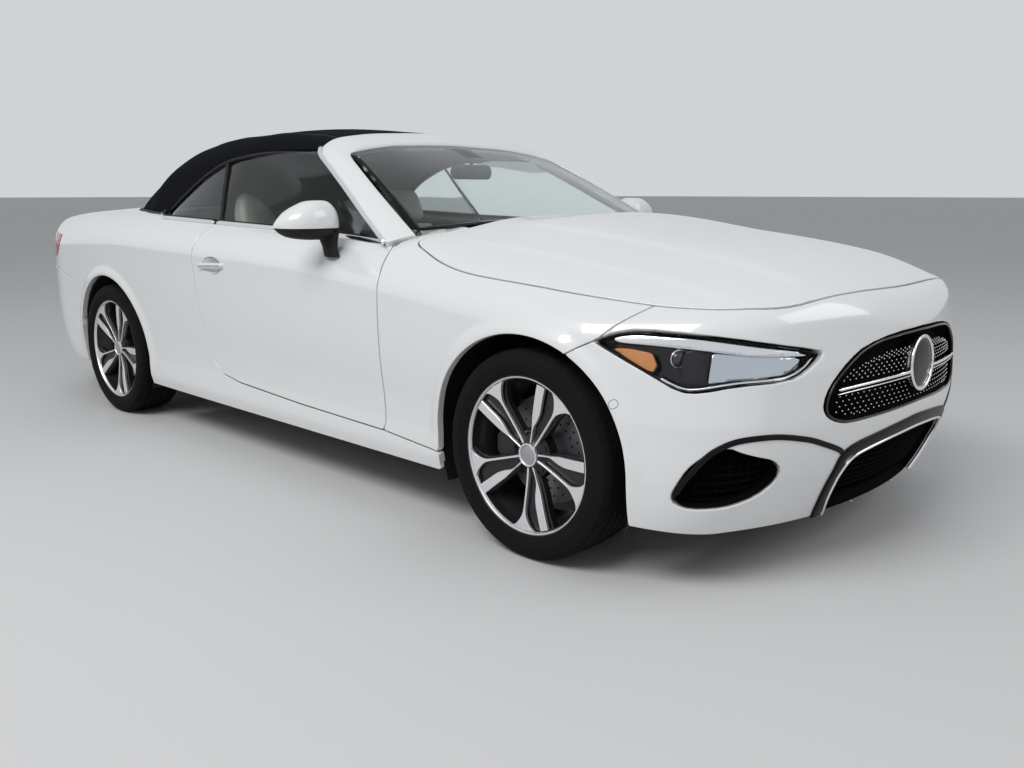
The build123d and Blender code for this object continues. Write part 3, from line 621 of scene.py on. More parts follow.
split_at = lambda d: tuple((x + d, z) for x, z in NOSE_SPLIT)
lid_corner = lambda p: np.min((-2.27 - p[:, 0], p[:, 1] - 0.446, 0.80 - p[:, 2]), axis=0)
bonnet_in = in_plan(BONNET, 0.58)
boot_in = both_of(in_plan(BOOT, 0.722), outside(lid_corner))
deck_in = in_plan(DECK, 0.9)
lamp_in = in_side(LAMP, 0.47)
tail_lamp_in = in_side(TAIL_LAMP, 0.446)
mirror_y = lambda o: np.vstack((np.array(o), np.array(o)[::-1] * (-1, 1)))
grille_in = in_front(mirror_y(GRILLE), 2.1)
low_in = in_front(mirror_y(LOW_GRILLE), 2.0)
intake_in = in_front(INTAKE, 1.9)
front_arch, rear_arch = arch_field(FRONT_X), arch_field(REAR_X)
door_in = in_side(DOOR, 0.0)
cabin_hole = lambda p: np.minimum(p[:, 2] - 0.9, np.minimum(0.87 - p[:, 0], p[:, 0] + 1.246)) + 0 * p[:, 1]
belt_edge = curve(((-1.246, 0.672), (-1.05, 0.706), (-0.98, 0.731), (-0.92, 0.775), (-0.86, 0.800),
    (0.87, 0.801)))
belt_open = lambda p: np.minimum(belt_edge(p[:, 0]) - p[:, 1], cabin_hole(p))


def handle_hole(p):
    away = np.hypot((p[:, 0] - HANDLE_AT[0]) / HANDLE_R[0], (p[:, 2] - HANDLE_AT[1]) / HANDLE_R[1])
    return np.minimum(HANDLE_R[1] * (1 - away), p[:, 1] - 0.5)


wing_in = both_of(in_side(DOOR_FRONT + (DOOR_BOTTOM[0], (1.24, 0.258), (1.24, 0.1)) + split_at(0.0012)),
                  outside(front_arch, bonnet_in, lamp_in, belt_open), lambda p: p[:, 1] - 0.55)
quarter_in = both_of(above, in_side(SIDE_FRAME + TAIL_SPLIT + ((-2.60, 1.10),)),
    outside(front_arch, rear_arch, boot_in, deck_in, tail_lamp_in, belt_open), lambda p: p[:, 1] - 0.30)
nose_in = both_of(above, in_side(((1.70, 0.1),) + split_at(-0.0012) + ((2.60, 1.1), (2.60, 0.1)), -1.0),
    outside(front_arch, bonnet_in, lamp_in, grille_in, low_in, intake_in))
DIFFUSER = ((-0.30, 0.385), (0.30, 0.385), (0.545, 0.350), (0.61, 0.30), (0.64, 0.10), (-0.30, 0.10))
PIPE_HOLE = ((0.368, 0.232), (0.368, 0.300), (0.380, 0.306), (0.520, 0.306), (0.532, 0.300),
    (0.532, 0.232), (0.520, 0.226), (0.380, 0.226))
PLATE = ((-0.3, 0.475), (-0.3, 0.600), (0.268, 0.600), (0.280, 0.588), (0.280, 0.487), (0.268, 0.475))
in_tail = lambda outline: (lambda p, o=np.array(outline, float): np.minimum(sdf(o, p[:, 1], p[:, 2]),
    -2.0 - p[:, 0]))
tail_in_all = both_of(above, in_side(((-1.66, 0.1),) + TAIL_SPLIT + ((-2.60, 0.1),), -1.0),
    outside(rear_arch, boot_in))
tail_in = both_of(tail_in_all, outside(in_tail(DIFFUSER), in_tail(PLATE)))

SIDES = ("left_door", "right_door")
FIX = ("body", "body")
panel("bonnet_skin", bonnet_in, PAINT, "bonnet", "body_paint", "bonnet", depth=0.012)
panel("boot_skin", both_of(boot_in, outside(tail_lamp_in)), PAINT, "boot_lid", "body_paint", "boot_lid",
    depth=0.02)
panel("deck_skin", deck_in, PAINT, "body", "body_paint", "rear_deck")
panel("nose_skin", nose_in, PAINT, "body", "body_paint", "front_bumper", depth=0.03)
panel("tail_skin", tail_in, PAINT, "body", "body_paint", "rear_bumper", depth=0.03)
panel_pair("wing_skin", wing_in, PAINT, FIX, "body_paint", ("front_wings",), depth=0.025)
panel_pair("door_skin", both_of(door_in, outside(belt_open, handle_hole)), PAINT, SIDES, "body_paint",
    ("door_left", "door_right"), depth=0.03)
panel_pair("quarter_skin", quarter_in, PAINT, FIX, "body_paint", ("rear_quarters",), depth=0.025)

# ---- what most pieces are made of: material, body or bodies, slot ----
TRIM = (BLACK, "body", "black_trim")
SIDE_TRIM = (BLACK, FIX, "black_trim")
DASH_PART = (DASH, "body", "dash_plastic")
DOOR_DASH = (DASH, SIDES, "dash_plastic")
SEAT_PART = (LEATHER, "body", "seat_leather")
DOOR_LEATHER = (LEATHER, SIDES, "seat_leather")
DOOR_PAINT = (PAINT, SIDES, "body_paint")
SIDE_PAINT = (PAINT, FIX, "body_paint")
LAMP_CHROME = (CHROME, FIX, "lamp_clear")
GLOSSY = (GLOSS, "body", "grille_black")
WHEEL_DASH = (DASH, "steering", "dash_plastic")
MESH_TRIM = (VOID, "body", "black_trim")


# ---- shapes for trim and fittings ----
def spline(points, n):
    """n points evenly spaced along a smooth line through the given ones."""
    pts = np.array(points, float)
    ext = np.vstack((2 * pts[0] - pts[1], pts, 2 * pts[-1] - pts[-2]))
    t = np.linspace(0, 1, 24, endpoint=False)[:, None]
    dense = []
    for a, b, c, d in zip(ext, ext[1:], ext[2:], ext[3:]):
        dense.append(0.5 * (2 * b + (c - a) * t + (2*a - 5*b + 4*c - d) * t**2 + (3*b - a - 3*c + d) * t**3))
    dense = np.vstack(dense + [pts[-1:]])
    run = np.concatenate(([0], np.cumsum(np.linalg.norm(np.diff(dense, axis=0), axis=1))))
    at = np.linspace(0, run[-1], n)
    return np.stack([np.interp(at, run, dense[:, k]) for k in range(dense.shape[1])], 1)


def unit(v):
    """Vectors of length one."""
    return v / np.maximum(np.linalg.norm(v, axis=-1, keepdims=True), 1e-12)


def full_circle(n):
    """n angles evenly round a circle."""
    return np.linspace(0, 2 * math.pi, n, endpoint=False)


def outward(verts, faces):
    """Faces of a closed mesh, turned outwards."""
    tris = np.array([(f[0], f[k], f[k + 1]) for f in faces for k in range(1, len(f) - 1)])
    a, b, c = verts[tris].transpose(1, 0, 2)
    return faces if (a * np.cross(b, c)).sum() > 0 else [tuple(reversed(f)) for f in faces]


def rows_mesh(rings, closed=True, caps=True, loop=False):
    """Joins rings of points, (rows, points, 3), into faces. loop: the last ring joins the first."""
    rings = np.asarray(rings, float)
    n, m = rings.shape[:2]
    faces = []
    for i in range(n if loop else n - 1):
        for j in range(m if closed else m - 1):
            a, b, c, d = i * m + j, i * m + (j + 1) % m, (i + 1) % n * m + (j + 1) % m, (i + 1) % n * m + j
            faces.append((a, d, c, b))
    if caps and closed and not loop:
        faces += [tuple(range(m)), tuple(reversed(range((n - 1) * m, n * m)))]
    verts = rings.reshape(-1, 3)
    return verts, outward(verts, faces) if closed and (caps or loop) else faces


def rounded(w, h, r=None, n=3):
    """Rounded rectangle round (0, 0), as a closed section."""
    r = min(w, h) * 0.49 if r is None else r
    out = []
    for cx, cy, start in ((w/2 - r, h/2 - r, 0), (r - w/2, h/2 - r, 90), (r - w/2, r - h/2, 180),
            (w/2 - r, r - h/2, 270)):
        for k in range(n + 1):
            a = math.radians(start + 90 * k / n)
            out.append((cx + r * math.cos(a), cy + r * math.sin(a)))
    return np.array(out)


def sweep(path, section, up, loop=False, scale=None):
    """Section (across, upwards) carried along a path. scale: width factor for each path point."""
    path, up = np.asarray(path, float), np.broadcast_to(np.asarray(up, float), np.shape(path))
    if loop:
        ahead = np.roll(path, -1, 0) - np.roll(path, 1, 0)
    else:
        ahead = np.gradient(path, axis=0)
    ahead = unit(ahead)
    side = unit(np.cross(ahead, up))
    up = np.cross(side, ahead)
    scale = np.ones(len(path)) if scale is None else np.asarray(scale)
    wide, high = scale[:, None, None], np.minimum(1, scale * 2)[:, None, None]
    rings = path[:, None] + side[:, None] * section[None, :, :1] * wide + up[:, None] * section[None, :,
        1:] * high
    return rows_mesh(rings, loop=loop)


def both(name, mesh, mat, bodies, slot, nodes=(), **how):
    """A piece and its mirror image, left first."""
    v, f = mesh
    out = [make(name + "_left", v, f, mat, bodies[0], slot, **how)]
    out.append(make(name + "_right", *flipped(v, f), mat, bodies[-1], slot, **how))
    for obj, node in zip(out, nodes):
        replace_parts(obj, node)
    return out


def on_skin(x, y, z, rounds=6):
    """The point moved onto the painted skin."""
    return project(np.array([(x, y, z)]), rounds)[0]


def skin_path(points, n=60, base=form):
    """Smooth line on the skin, and the skin's direction along it."""
    path = project(spline(points, n), 4, shape=base)
    return path, unit(gradient(path, shape=base))


def strip(points, width, height, n=60, lift=0.0, base=form, loop=False, ends=True, section=None):
    """Band lying along a line on the skin, narrowing at its ends."""
    path, up = skin_path(points, n, base)
    k = np.arange(n)
    scale = np.clip(np.minimum(k, n - 1 - k) / 3 + 0.35, 0, 1) if ends and not loop else None
    return sweep(path + up * lift, rounded(width, height) if section is None else section, up, loop, scale)


def inset(outline, d):
    """Closed outline moved inwards by d."""
    pts = np.array(outline, float)
    area = 0.5 * np.sum(pts[:, 0] * np.roll(pts[:, 1], -1) - np.roll(pts[:, 0], -1) * pts[:, 1])
    e = unit(np.roll(pts, -1, 0) - pts)
    normal = np.stack((-e[:, 1], e[:, 0]), 1) * np.sign(area)
    before = np.roll(normal, 1, 0)
    mid = unit(normal + before)
    return pts + mid * d / np.maximum((mid * normal).sum(1), 0.5)[:, None]


def plate(outline, low, high, place, bevel=0.003):
    """Flat piece with bevelled edges. place(u, v, h) gives its points."""
    rings = [(inset(outline, bevel), low), (outline, low + bevel), (outline, high - bevel),
        (inset(outline, bevel * 0.3), high - bevel * 0.3), (inset(outline, bevel), high)]
    rings = [place(np.array(o, float)[:, 0], np.array(o, float)[:, 1], np.full(len(o), float(h))) for o,
        h in rings]
    return rows_mesh(rings)


on_side = lambda u, v, h: np.stack((u, h, v), -1)
in_plane = lambda u, v, h: np.stack((u, v, h), -1)


def merge(*meshes):
    """Several meshes as one."""
    verts, faces, base = [], [], 0
    for v, f in meshes:
        verts.append(np.asarray(v, float))
        faces += [tuple(i + base for i in g) for g in f]
        base += len(v)
    return np.vstack(verts), faces


def turned(profile, n=96, start=0.0, wave=None):
    """Ring about the wheel's axis from (radius, outwards) points."""
    angles = start + np.arange(n) * 2 * math.pi / n
    prof = np.array(profile, float)
    r = np.broadcast_to(prof[:, 0], (n, len(prof)))
    if wave is not None:
        r = r + wave(angles[:, None], r, prof[None, :, 1])
    rings = np.stack((r * np.cos(angles)[:, None], np.broadcast_to(prof[:, 1], r.shape),
        r * np.sin(angles)[:, None]), -1)
    return rows_mesh(rings, closed=False, loop=True)


# ---- wheels: built about the origin, looking in from outside, u forwards on the right side ----
def wheel_face(r):
    """How far the spokes' front lies outside the wheel's centre plane."""
    return 0.080 + 0.016 * step(r, 0.04, 0.24)


def blade(rows, depth, bevel, drop=0.0, wide=5):
    """Spoke from rows of (radius, clockwise edge angle, anticlockwise edge angle) in degrees."""
    table = np.array(rows, float)
    radii = np.linspace(table[0, 0], table[-1, 0], 34)
    low, high = (np.radians(curve(np.column_stack((table[:, 0], table[:, k])))(radii)) for k in (1, 2))
    rings = []
    for r, a, b in zip(radii, low, high):
        edge = min(bevel / r, (b - a) * 0.3)
        angles = [a, a, a + edge, (a + b) / 2, b - edge, b, b]
        heights = [-depth, -bevel, 0, 0, 0, -bevel, -depth]
        rings.append([(r * math.cos(t), wheel_face(r) - drop + h, r * math.sin(t)) for t,
            h in zip(angles, heights)])
    return rows_mesh(rings)


def by_width(rows, centre):
    """Rows of (radius, width clockwise of the centre line, width anticlockwise of it) in metres."""
    return [(r, centre - math.degrees(a / r), centre + math.degrees(b / r)) for r, a, b in rows]


def spread(mesh, count=5):
    """The mesh repeated round the wheel."""
    v, f = mesh
    turns = [2 * math.pi * k / count for k in range(count)]
    turned_to = [(v[:, 0] * math.cos(t) - v[:, 2] * math.sin(t), v[:, 1], v[:, 0] * math.sin(t) + v[:, 2]
        * math.cos(t)) for t in turns]
    return merge(*[(np.column_stack(columns), f) for columns in turned_to])


PADDLE, THIN = 74.5, 52.1
paddle = blade(by_width(((0.040, -0.001, 0.006), (0.075, -0.004, 0.0080), (0.090, -0.003, 0.0090),
    (0.105, 0.002, 0.0110), (0.125, 0.0095, 0.0132), (0.150, 0.0148, 0.0140), (0.190, 0.0158, 0.0145),
    (0.233, 0.0163, 0.0150)), PADDLE), 0.010, 0.0012)
thin = blade(by_width(((0.040, 0.0036, 0.003), (0.08, 0.0032, 0.0032), (0.165, 0.0037, 0.0037),
    (0.184, 0.0058, 0.0058), (0.200, 0.0120, 0.0120), (0.215, 0.0215, 0.0215), (0.228, 0.032, 0.032),
    (0.2375, 0.046, 0.046)), THIN), 0.010, 0.0012)
web = blade(((0.035, THIN - 12, PADDLE + 14), (0.07, THIN - 5.0, PADDLE + 9.0),
    (0.12, THIN - 3.6, PADDLE + 8.4), (0.170, THIN - 3.2, PADDLE + 6.6), (0.19, THIN - 4.6, PADDLE + 6.2),
    (0.21, THIN - 7.5, PADDLE + 6.0), (0.239, THIN - 12.5, PADDLE + 6.0)), 0.026, 0.004, drop=0.016)
hub = turned(((0.001, 0.078), (0.034, 0.078), (0.041, 0.0785), (0.048, 0.073), (0.074, 0.062),
    (0.080, 0.040), (0.070, 0.010), (0.001, 0.010)), 60)
lip = turned(((0.2365, 0.090), (0.2395, 0.0990), (0.2410, 0.1010), (0.2445, 0.1010), (0.2465, 0.0995),
    (0.2470, 0.094), (0.243, 0.090), (0.2365, 0.090)), 120)
barrel = turned(((0.2465, 0.094), (0.2480, 0.100), (0.2480, 0.103), (0.2460, 0.104), (0.2440, 0.101),
    (0.2400, 0.097), (0.236, 0.080), (0.228, 0.050), (0.210, 0.030), (0.206, -0.055), (0.226, -0.078),
    (0.230, -0.10), (0.240, -0.104), (0.246, -0.104), (0.246, -0.097), (0.234, -0.09), (0.232, -0.075),
    (0.216, -0.05), (0.218, 0.03), (0.236, 0.06), (0.240, 0.09), (0.2465, 0.094)), 120)
cap = turned(((0.001, 0.0835), (0.024, 0.0832), (0.0285, 0.0820), (0.030, 0.080)), 48)
cap_ring = turned(((0.030, 0.080), (0.0305, 0.0840), (0.0325, 0.0855), (0.036, 0.0845), (0.0375, 0.078)), 48)
bolt_cup = turned(((0.013, 0.0705), (0.0125, 0.069), (0.011, 0.056)), 18)
bolt = turned(((0.0001, 0.066), (0.0065, 0.066), (0.0085, 0.064), (0.0085, 0.056)), 6)
BOLT_R, BOLT_ANGLE = 0.056, math.radians(98)
at_bolt = lambda m: (np.asarray(m[0]) + (BOLT_R * math.cos(BOLT_ANGLE), 0, BOLT_R * math.sin(BOLT_ANGLE)),
    m[1])
disc = turned(((0.172, -0.012), (0.1735, -0.016), (0.1735, -0.034), (0.172, -0.038), (0.068, -0.038),
    (0.068, 0.034), (0.060, 0.040), (0.050, 0.040), (0.050, 0.044), (0.072, 0.044), (0.076, 0.036),
    (0.076, -0.012), (0.172, -0.012)), 96)
# Drill holes are drawn as thin black caps on the disc's face: painted shade for the dark inside of each
# hole.
drill = turned(((0.0038, -0.0112), (0.0030, -0.0118), (0.0001, -0.0118)), 10)
holes = []
for ring in range(3):
    for k in range(24):
        a, r = math.radians(15 * k + 5 * ring), 0.100 + 0.024 * ring
        holes.append((drill[0] + (r * math.cos(a), 0, r * math.sin(a)), drill[1]))

GROOVES = (-0.052, -0.018, 0.018, 0.052)


def tread_wave(angle, r, o):
    """Sipes across the shoulders, as radius changes on the tread."""
    block = np.abs(((angle * 36 / math.pi + np.abs(o) * 18) % 1.0) - 0.5)
    shoulder = (np.abs(o) > 0.056) & (r > 0.318)
    return np.where(shoulder & (block < 0.09), -0.006, 0.0)


tread = [(0.2475, 0.1025), (0.2505, 0.1055), (0.2560, 0.1065), (0.2600, 0.1085), (0.270, 0.1110),
    (0.280, 0.1120), (0.2815, 0.1126), (0.2835, 0.1120), (0.296, 0.1105), (0.306, 0.1080),
    (0.3145, 0.1035), (0.3200, 0.0975), (0.3235, 0.090), (0.3255, 0.078), (0.3262, 0.066)]
for o in GROOVES[::-1]:
    tread += [(0.3268, o + 0.0055), (0.3195, o + 0.0040), (0.3195, o - 0.0040), (0.3268, o - 0.0055)]
tread += [(r, -o) for r, o in tread[14::-1]]
tyre = turned(tread, 216, wave=tread_wave)

for wheel, x, side in (("front_left", FRONT_X, 1), ("front_right", FRONT_X, -1), ("rear_left", REAR_X, 1),
        ("rear_right", REAR_X, -1)):
    def fit(mesh):
        v = np.asarray(mesh[0]) * (-side, side, 1) + (x, side * WHEEL_Y, TYRE_R)
        return v, [tuple(reversed(f)) for f in mesh[1]]
    on = (wheel + "_wheel", "wheel_alloy")
    machined = make("spoke_faces_" + wheel, *fit(spread(merge(paddle, thin))), SILVER, *on, sharp=35)
    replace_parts(machined, "rim_" + wheel)
    make("spoke_backs_" + wheel, *fit(merge(spread(web), hub, barrel, spread(at_bolt(bolt_cup)))),
        WHEEL_BLACK, *on, sharp=40)
    make("rim_ring_" + wheel, *fit(merge(lip, cap_ring)), SILVER, *on, sharp=50)
    make("wheel_cap_" + wheel, *fit(cap), CAST, *on, sharp=40)
    make("wheel_bolts_" + wheel, *fit(spread(at_bolt(bolt))), STEEL, *on, sharp=30)
    make("brake_disc_" + wheel, *fit(disc), BRAKE, wheel + "_wheel", "steel", sharp=40)
    # Painted shade: black caps where the disc's drill holes show dark.
    make("disc_hole_shade_" + wheel, *fit(merge(*holes)), BLACK, wheel + "_wheel", "steel")
    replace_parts(make("tyre_casing_" + wheel, *fit(tyre), RUBBER, wheel + "_wheel", "tyre_rubber",
        sharp=35), "tyre_" + wheel)

# ---- raised roof: crown height, drop towards the side, lower edge's y and z, and lean of the side ----
ROOF = curve((
    (-1.70, 0.985, 0.030, 0.09, 1.045, 0.50),
    (-1.655, 1.030, 0.030, 0.30, 1.045, 0.50),
    (-1.62, 1.060, 0.035, 0.46, 1.040, 0.50),
    (-1.56, 1.104, 0.040, 0.555, 1.030, 0.50),
    (-1.45, 1.166, 0.050, 0.624, 1.018, 0.50),
    (-1.30, 1.238, 0.058, 0.668, 1.012, 0.50),
    (-1.139, 1.305, 0.060, 0.713, 1.006, 0.48),
    (-0.951, 1.358, 0.062, 0.722, 1.013, 0.44),
    (-0.746, 1.388, 0.062, 0.690, 1.112, 0.38),
    (-0.54, 1.399, 0.060, 0.670, 1.201, 0.35),
    (-0.309, 1.402, 0.058, 0.650, 1.258, 0.35),
    (-0.047, 1.388, 0.056, 0.640, 1.276, 0.38),
    (0.186, 1.358, 0.060, 0.636, 1.277, 0.42),
    (0.30, 1.336, 0.064, 0.634, 1.277, 0.42),
))
BOWS = (-0.28, -0.66, -1.02)


def roof_form(p):
    """About the signed distance to the roof fabric, negative inside. It stands proud over each bow."""
    x, y, z = p[..., 0], np.abs(p[..., 1]), p[..., 2]
    crown, drop, edge_y, edge_z, lean = np.moveaxis(ROOF(x), -1, 0)
    sag = 0.004 * np.min([np.minimum(np.abs(x - b) / 0.15, 1) ** 2 for b in BOWS], axis=0)
    top = z - (crown - sag - drop * (y / 0.6) ** 2.2)
    side = (y - edge_y + lean * (z - edge_z)) * 0.92
    return rmax(side, top * 0.92, 0.09)


def roof_skin(cell):
    return (*skin_mesh(cell, roof_form, (-1.73, 0.97), (0.27, 0.80, 1.45)), roof_form, cell)


ROOF_SKIN = roof_skin(ROOF_STEP)
# Upper edge of the side windows: (x, y, z).
WINDOW_TOP = ((0.186, 0.637, 1.277), (-0.047, 0.641, 1.278), (-0.20, 0.645, 1.276), (-0.36, 0.655, 1.264),
    (-0.48, 0.660, 1.246), (-0.61, 0.670, 1.206), (-0.73, 0.678, 1.156), (-0.86, 0.700, 1.080),
    (-0.951, 0.722, 1.013))
ROOF_SIDE = ((0.30, 1.279),) + tuple((x, z + 0.002) for x, _, z in WINDOW_TOP) + ((-0.985, 0.995),
    (-1.0, 0.90), (-1.8, 0.90), (-1.8, 1.6), (0.30, 1.6))
# Front edge of the fabric: distance from the centre plane, x.
HEADER = curve(((0, 0.170), (0.30, 0.178), (0.55, 0.198), (0.62, 0.212), (0.70, 0.222)))
REAR_PANE = smooth(((-1.09, 0.0), (-1.09, 0.33), (-1.12, 0.375), (-1.36, 0.415), (-1.43, 0.38),
    (-1.43, 0.0)), 2, closed=False)
rear_pane_in = in_plan(REAR_PANE, 1.0)
on_roof = both_of(in_side(ROOF_SIDE, -1.0), lambda p: form(p) - 0.004, lambda p: HEADER(np.abs(p[:, 1]))
    - p[:, 0])
cloth = panel("roof_fabric", both_of(on_roof, outside(rear_pane_in)), FABRIC, "body", "cover_fabric",
    "soft_top", base=ROOF_SKIN, gap=0.001, depth=0.014, roll=0.006)
panel("roof_lining", on_roof, LINING, "body", "dash_plastic", base=roof_skin(LINING_STEP), gap=0.012,
    offset=-0.024, depth=0.004)
panel("rear_pane", rear_pane_in, GLASS, "body", "clear_glass", "rear_window", base=ROOF_SKIN, gap=0.003,
    offset=-0.003, depth=0.004)


def across(points):
    """A line given for the left half, continued on the right."""
    return list(points) + [(x, -y, z) for x, y, z in reversed(points) if y > 1e-6]


def on_top(points, shape, low=0.9, high=1.5):
    """Points (x, y) lifted onto a form from above."""
    pts = np.array([(x, y, 0.0) for x, y in points], float)
    a, b = np.full(len(pts), low), np.full(len(pts), high)
    for _ in range(30):
        pts[:, 2] = (a + b) / 2
        inside = shape(pts) < 0
        a, b = np.where(inside, pts[:, 2], a), np.where(inside, b, pts[:, 2])
    return pts


pane_edge = REAR_PANE[1:-1]
rim_line = on_top([(x, y) for x, y in pane_edge] + [(x, -y) for x, y in pane_edge[::-1]], roof_form)
make("pane_seal", *strip(rim_line, 0.018, 0.006, 140, base=roof_form, loop=True), GLOSS, "body",
    "black_trim")
SEAM_Y = 0.47
seam = on_top([(x, SEAM_Y) for x in np.linspace(0.16, -1.52, 12)], roof_form)
both("roof_seam", strip(seam, 0.010, 0.0030, 120, base=roof_form), FABRIC, FIX, "cover_fabric")
both("roof_stitch", strip(seam + (0, 0.0065, 0), 0.0014, 0.0042, 120, base=roof_form), DARK, FIX,
    "cover_fabric")
for k, b in enumerate(BOWS[1:]):
    bow = on_top([(b, y) for y in (0.46, 0.35, 0.2, 0.0)], roof_form)
    make(f"roof_cross_seam_{k}", *strip(across([tuple(q) for q in bow]), 0.008, 0.0026, 90,
        base=roof_form), FABRIC, "body", "cover_fabric")
both("window_seal", strip(WINDOW_TOP, 0.016, 0.014, 80, base=roof_form), *SIDE_TRIM)
ROOF_FOOT = ((-0.93, 0.728), (-1.022, 0.734), (-1.139, 0.719), (-1.30, 0.676), (-1.45, 0.631),
    (-1.56, 0.563), (-1.625, 0.47), (-1.660, 0.305), (-1.674, 0.11), (-1.677, 0.0))
foot = on_top(ROOF_FOOT, form, 0.9, 1.1)
make("roof_foot_seal", *strip(across([tuple(q) for q in foot]), 0.022, 0.012, 200), *TRIM)

# ---- windscreen and its frame ----
# Lower and upper edge of the windscreen: distance from the centre plane, x, height.
SCREEN_BASE = curve(((0, 1.000, 0.990), (0.45, 0.970, 0.981), (0.735, 0.895, 0.964)))
SCREEN_TOP = curve(((0, 0.290, 1.310), (0.30, 0.300, 1.301), (0.59, 0.335, 1.262)))


def screen_point(u, v, h):
    """Point of the windscreen: u across from -1 to 1, v upwards from 0 to 1, h outwards."""
    u, v, h = np.broadcast_arrays(np.asarray(u, float), np.asarray(v, float), np.asarray(h, float))
    base, top = SCREEN_BASE(np.abs(u) * SCREEN_LOW_Y), SCREEN_TOP(np.abs(u) * SCREEN_TOP_Y)
    x, z = (base * (1 - v[..., None]) + top * v[..., None]).T
    x, z = x.T, z.T
    out = 0.020 * 4 * v * (1 - v) * (1 - 0.6 * u * u) + h
    y = u * (SCREEN_LOW_Y * (1 - v) + SCREEN_TOP_Y * v) + 0.28 * u * h
    return np.stack((x + 0.42 * out, y, z + 0.87 * out), -1)


def screen_piece(u0, u1, v0, v1, outer, inner, nu=40, nv=16):
    """Part of the windscreen between two heights over its form."""
    u = np.linspace(u0, u1, nu)
    rings = [np.vstack((screen_point(u, v, outer), screen_point(u[::-1], v, inner))) for v
        in np.linspace(v0, v1, nv)]
    return rows_mesh(rings)


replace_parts(make("windscreen_pane", *screen_piece(-1, 1, 0, 1, 0.0, -0.005), GLASS, "body",
    "clear_glass"), "windscreen")
frit = [screen_piece(-1, 1, 0.0, 0.07, -0.006, -0.007, 40, 3), screen_piece(-1, 1, 0.955, 1.0, -0.006,
    -0.007, 40, 3), screen_piece(-0.13, 0.13, 0.80, 0.956, -0.006, -0.007, 8, 6)]
frit += [screen_piece(a, b, 0.07, 0.955, -0.006, -0.007, 3, 16) for a, b in ((-1.0, -0.945), (0.945, 1.0))]
make("screen_border", *merge(*frit), *MESH_TRIM)
# Outer and inner edge of the pillars and header, (x, y, z), from the door to the centre plane.
PILLAR_OUT = ((0.835, 0.822, 0.932), (0.68, 0.782, 1.016), (0.518, 0.735, 1.102), (0.34, 0.686, 1.196),
    (0.232, 0.654, 1.250), (0.196, 0.628, 1.280), (0.190, 0.56, 1.320), (0.183, 0.45, 1.340),
    (0.176, 0.30, 1.354), (0.170, 0.0, 1.364))
PILLAR_IN = ((0.905, 0.742, 0.962), (0.75, 0.708, 1.043), (0.60, 0.673, 1.122), (0.45, 0.635, 1.202),
    (0.365, 0.608, 1.245), (0.336, 0.582, 1.262), (0.320, 0.52, 1.277), (0.310, 0.42, 1.291),
    (0.300, 0.30, 1.301), (0.290, 0.0, 1.310))
outer_line, inner_line = (spline(across(line), 140) for line in (PILLAR_OUT, PILLAR_IN))
rings = []
for o, i in zip(outer_line, inner_line):
    centre = np.array((o[0] * 0.5 + i[0] * 0.5 - 0.35, (o[1] + i[1]) * 0.25, 0.80))
    up = unit((o + i) / 2 - centre)
    deep = unit(np.array((0.0, -np.sign(o[1]) * 0.5 * (abs(o[1]) > 0.3), -1.0)))
    rings.append([
        o + deep * 0.030, o + deep * 0.006, o + up * 0.001,
        o * 0.85 + i * 0.15 + up * 0.010, o * 0.5 + i * 0.5 + up * 0.014, o * 0.15 + i * 0.85 + up * 0.008,
        i + up * 0.001, i + deep * 0.004, i * 0.97 + o * 0.03 + deep * 0.028,
    ])
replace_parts(make("screen_surround", *rows_mesh(rings), PAINT, "body", "body_paint", sharp=60),
    "windscreen_frame")
chrome_line = np.array(PILLAR_OUT[:6]) + (0.003, 0.007, 0.005)
path = spline(chrome_line, 60)
both("pillar_chrome", sweep(path, rounded(0.017, 0.010), unit(np.array((0.25, 0.75, 0.6)))), CHROME, FIX,
    "black_trim")
both("pillar_seal", sweep(path - (0.004, 0.012, 0.006), rounded(0.014, 0.016),
    unit(np.array((0.0, 0.9, 0.3)))), *SIDE_TRIM)

# ---- headlamps ----
def pocket(name, field, mat, bodies, slot, offset, rim, gap=0.003):
    """Pair of recessed faces with walls up to the skin."""
    v, f, _ = panel_mesh(field, gap=gap, depth=rim + offset, offset=offset, roll=0.001)
    both(name, (v, f), mat, bodies, slot)


panel_pair("headlamp_lens", lamp_in, LENS, FIX, "lamp_clear", ("headlamps",), depth=0.006, gap=0.003)
pocket("headlamp_bowl", lamp_in, GLOSS, FIX, "black_trim", -0.075, 0.012)
TOP_BAND = smooth(((1.868, 0.716), (1.905, 0.7285), (1.952, 0.7345), (2.102, 0.725), (2.222, 0.705),
    (2.294, 0.684), (2.300, 0.670), (2.207, 0.682), (2.106, 0.696), (1.989, 0.703), (1.905, 0.705)), 2)
MIRROR_PART = ((2.131, 0.690), (2.213, 0.683), (2.284, 0.672), (2.292, 0.664), (2.292, 0.640),
    (2.276, 0.624), (2.240, 0.616), (2.195, 0.616), (2.134, 0.606))
BOX_PART = smooth(((2.062, 0.697), (2.116, 0.692), (2.131, 0.606), (2.090, 0.600), (2.072, 0.612)), 1)
AMBER_PART = ((1.880, 0.690), (1.935, 0.691), (1.990, 0.683), (2.008, 0.652), (2.000, 0.630), (1.948, 0.655))
MIRRORED = material("lamp_reflector", (0.62, 0.66, 0.70), 1.0, 0.06, vary=0.02)
for name, outline, mat, depth, thick in (("lamp_light_bar", TOP_BAND, CHROME, -0.020, 0.030),
        ("lamp_reflector_part", MIRROR_PART, MIRRORED, -0.034, 0.03), ("lamp_projector_box", BOX_PART,
        GLOSS, -0.022, 0.05), ("lamp_amber", AMBER_PART, AMBER, -0.010, 0.02)):
    v, f, _ = panel_mesh(in_side(outline, 0.44), gap=0.0, depth=thick, offset=depth, roll=0.002)
    both(name, (v, f), mat, FIX, "lamp_clear")
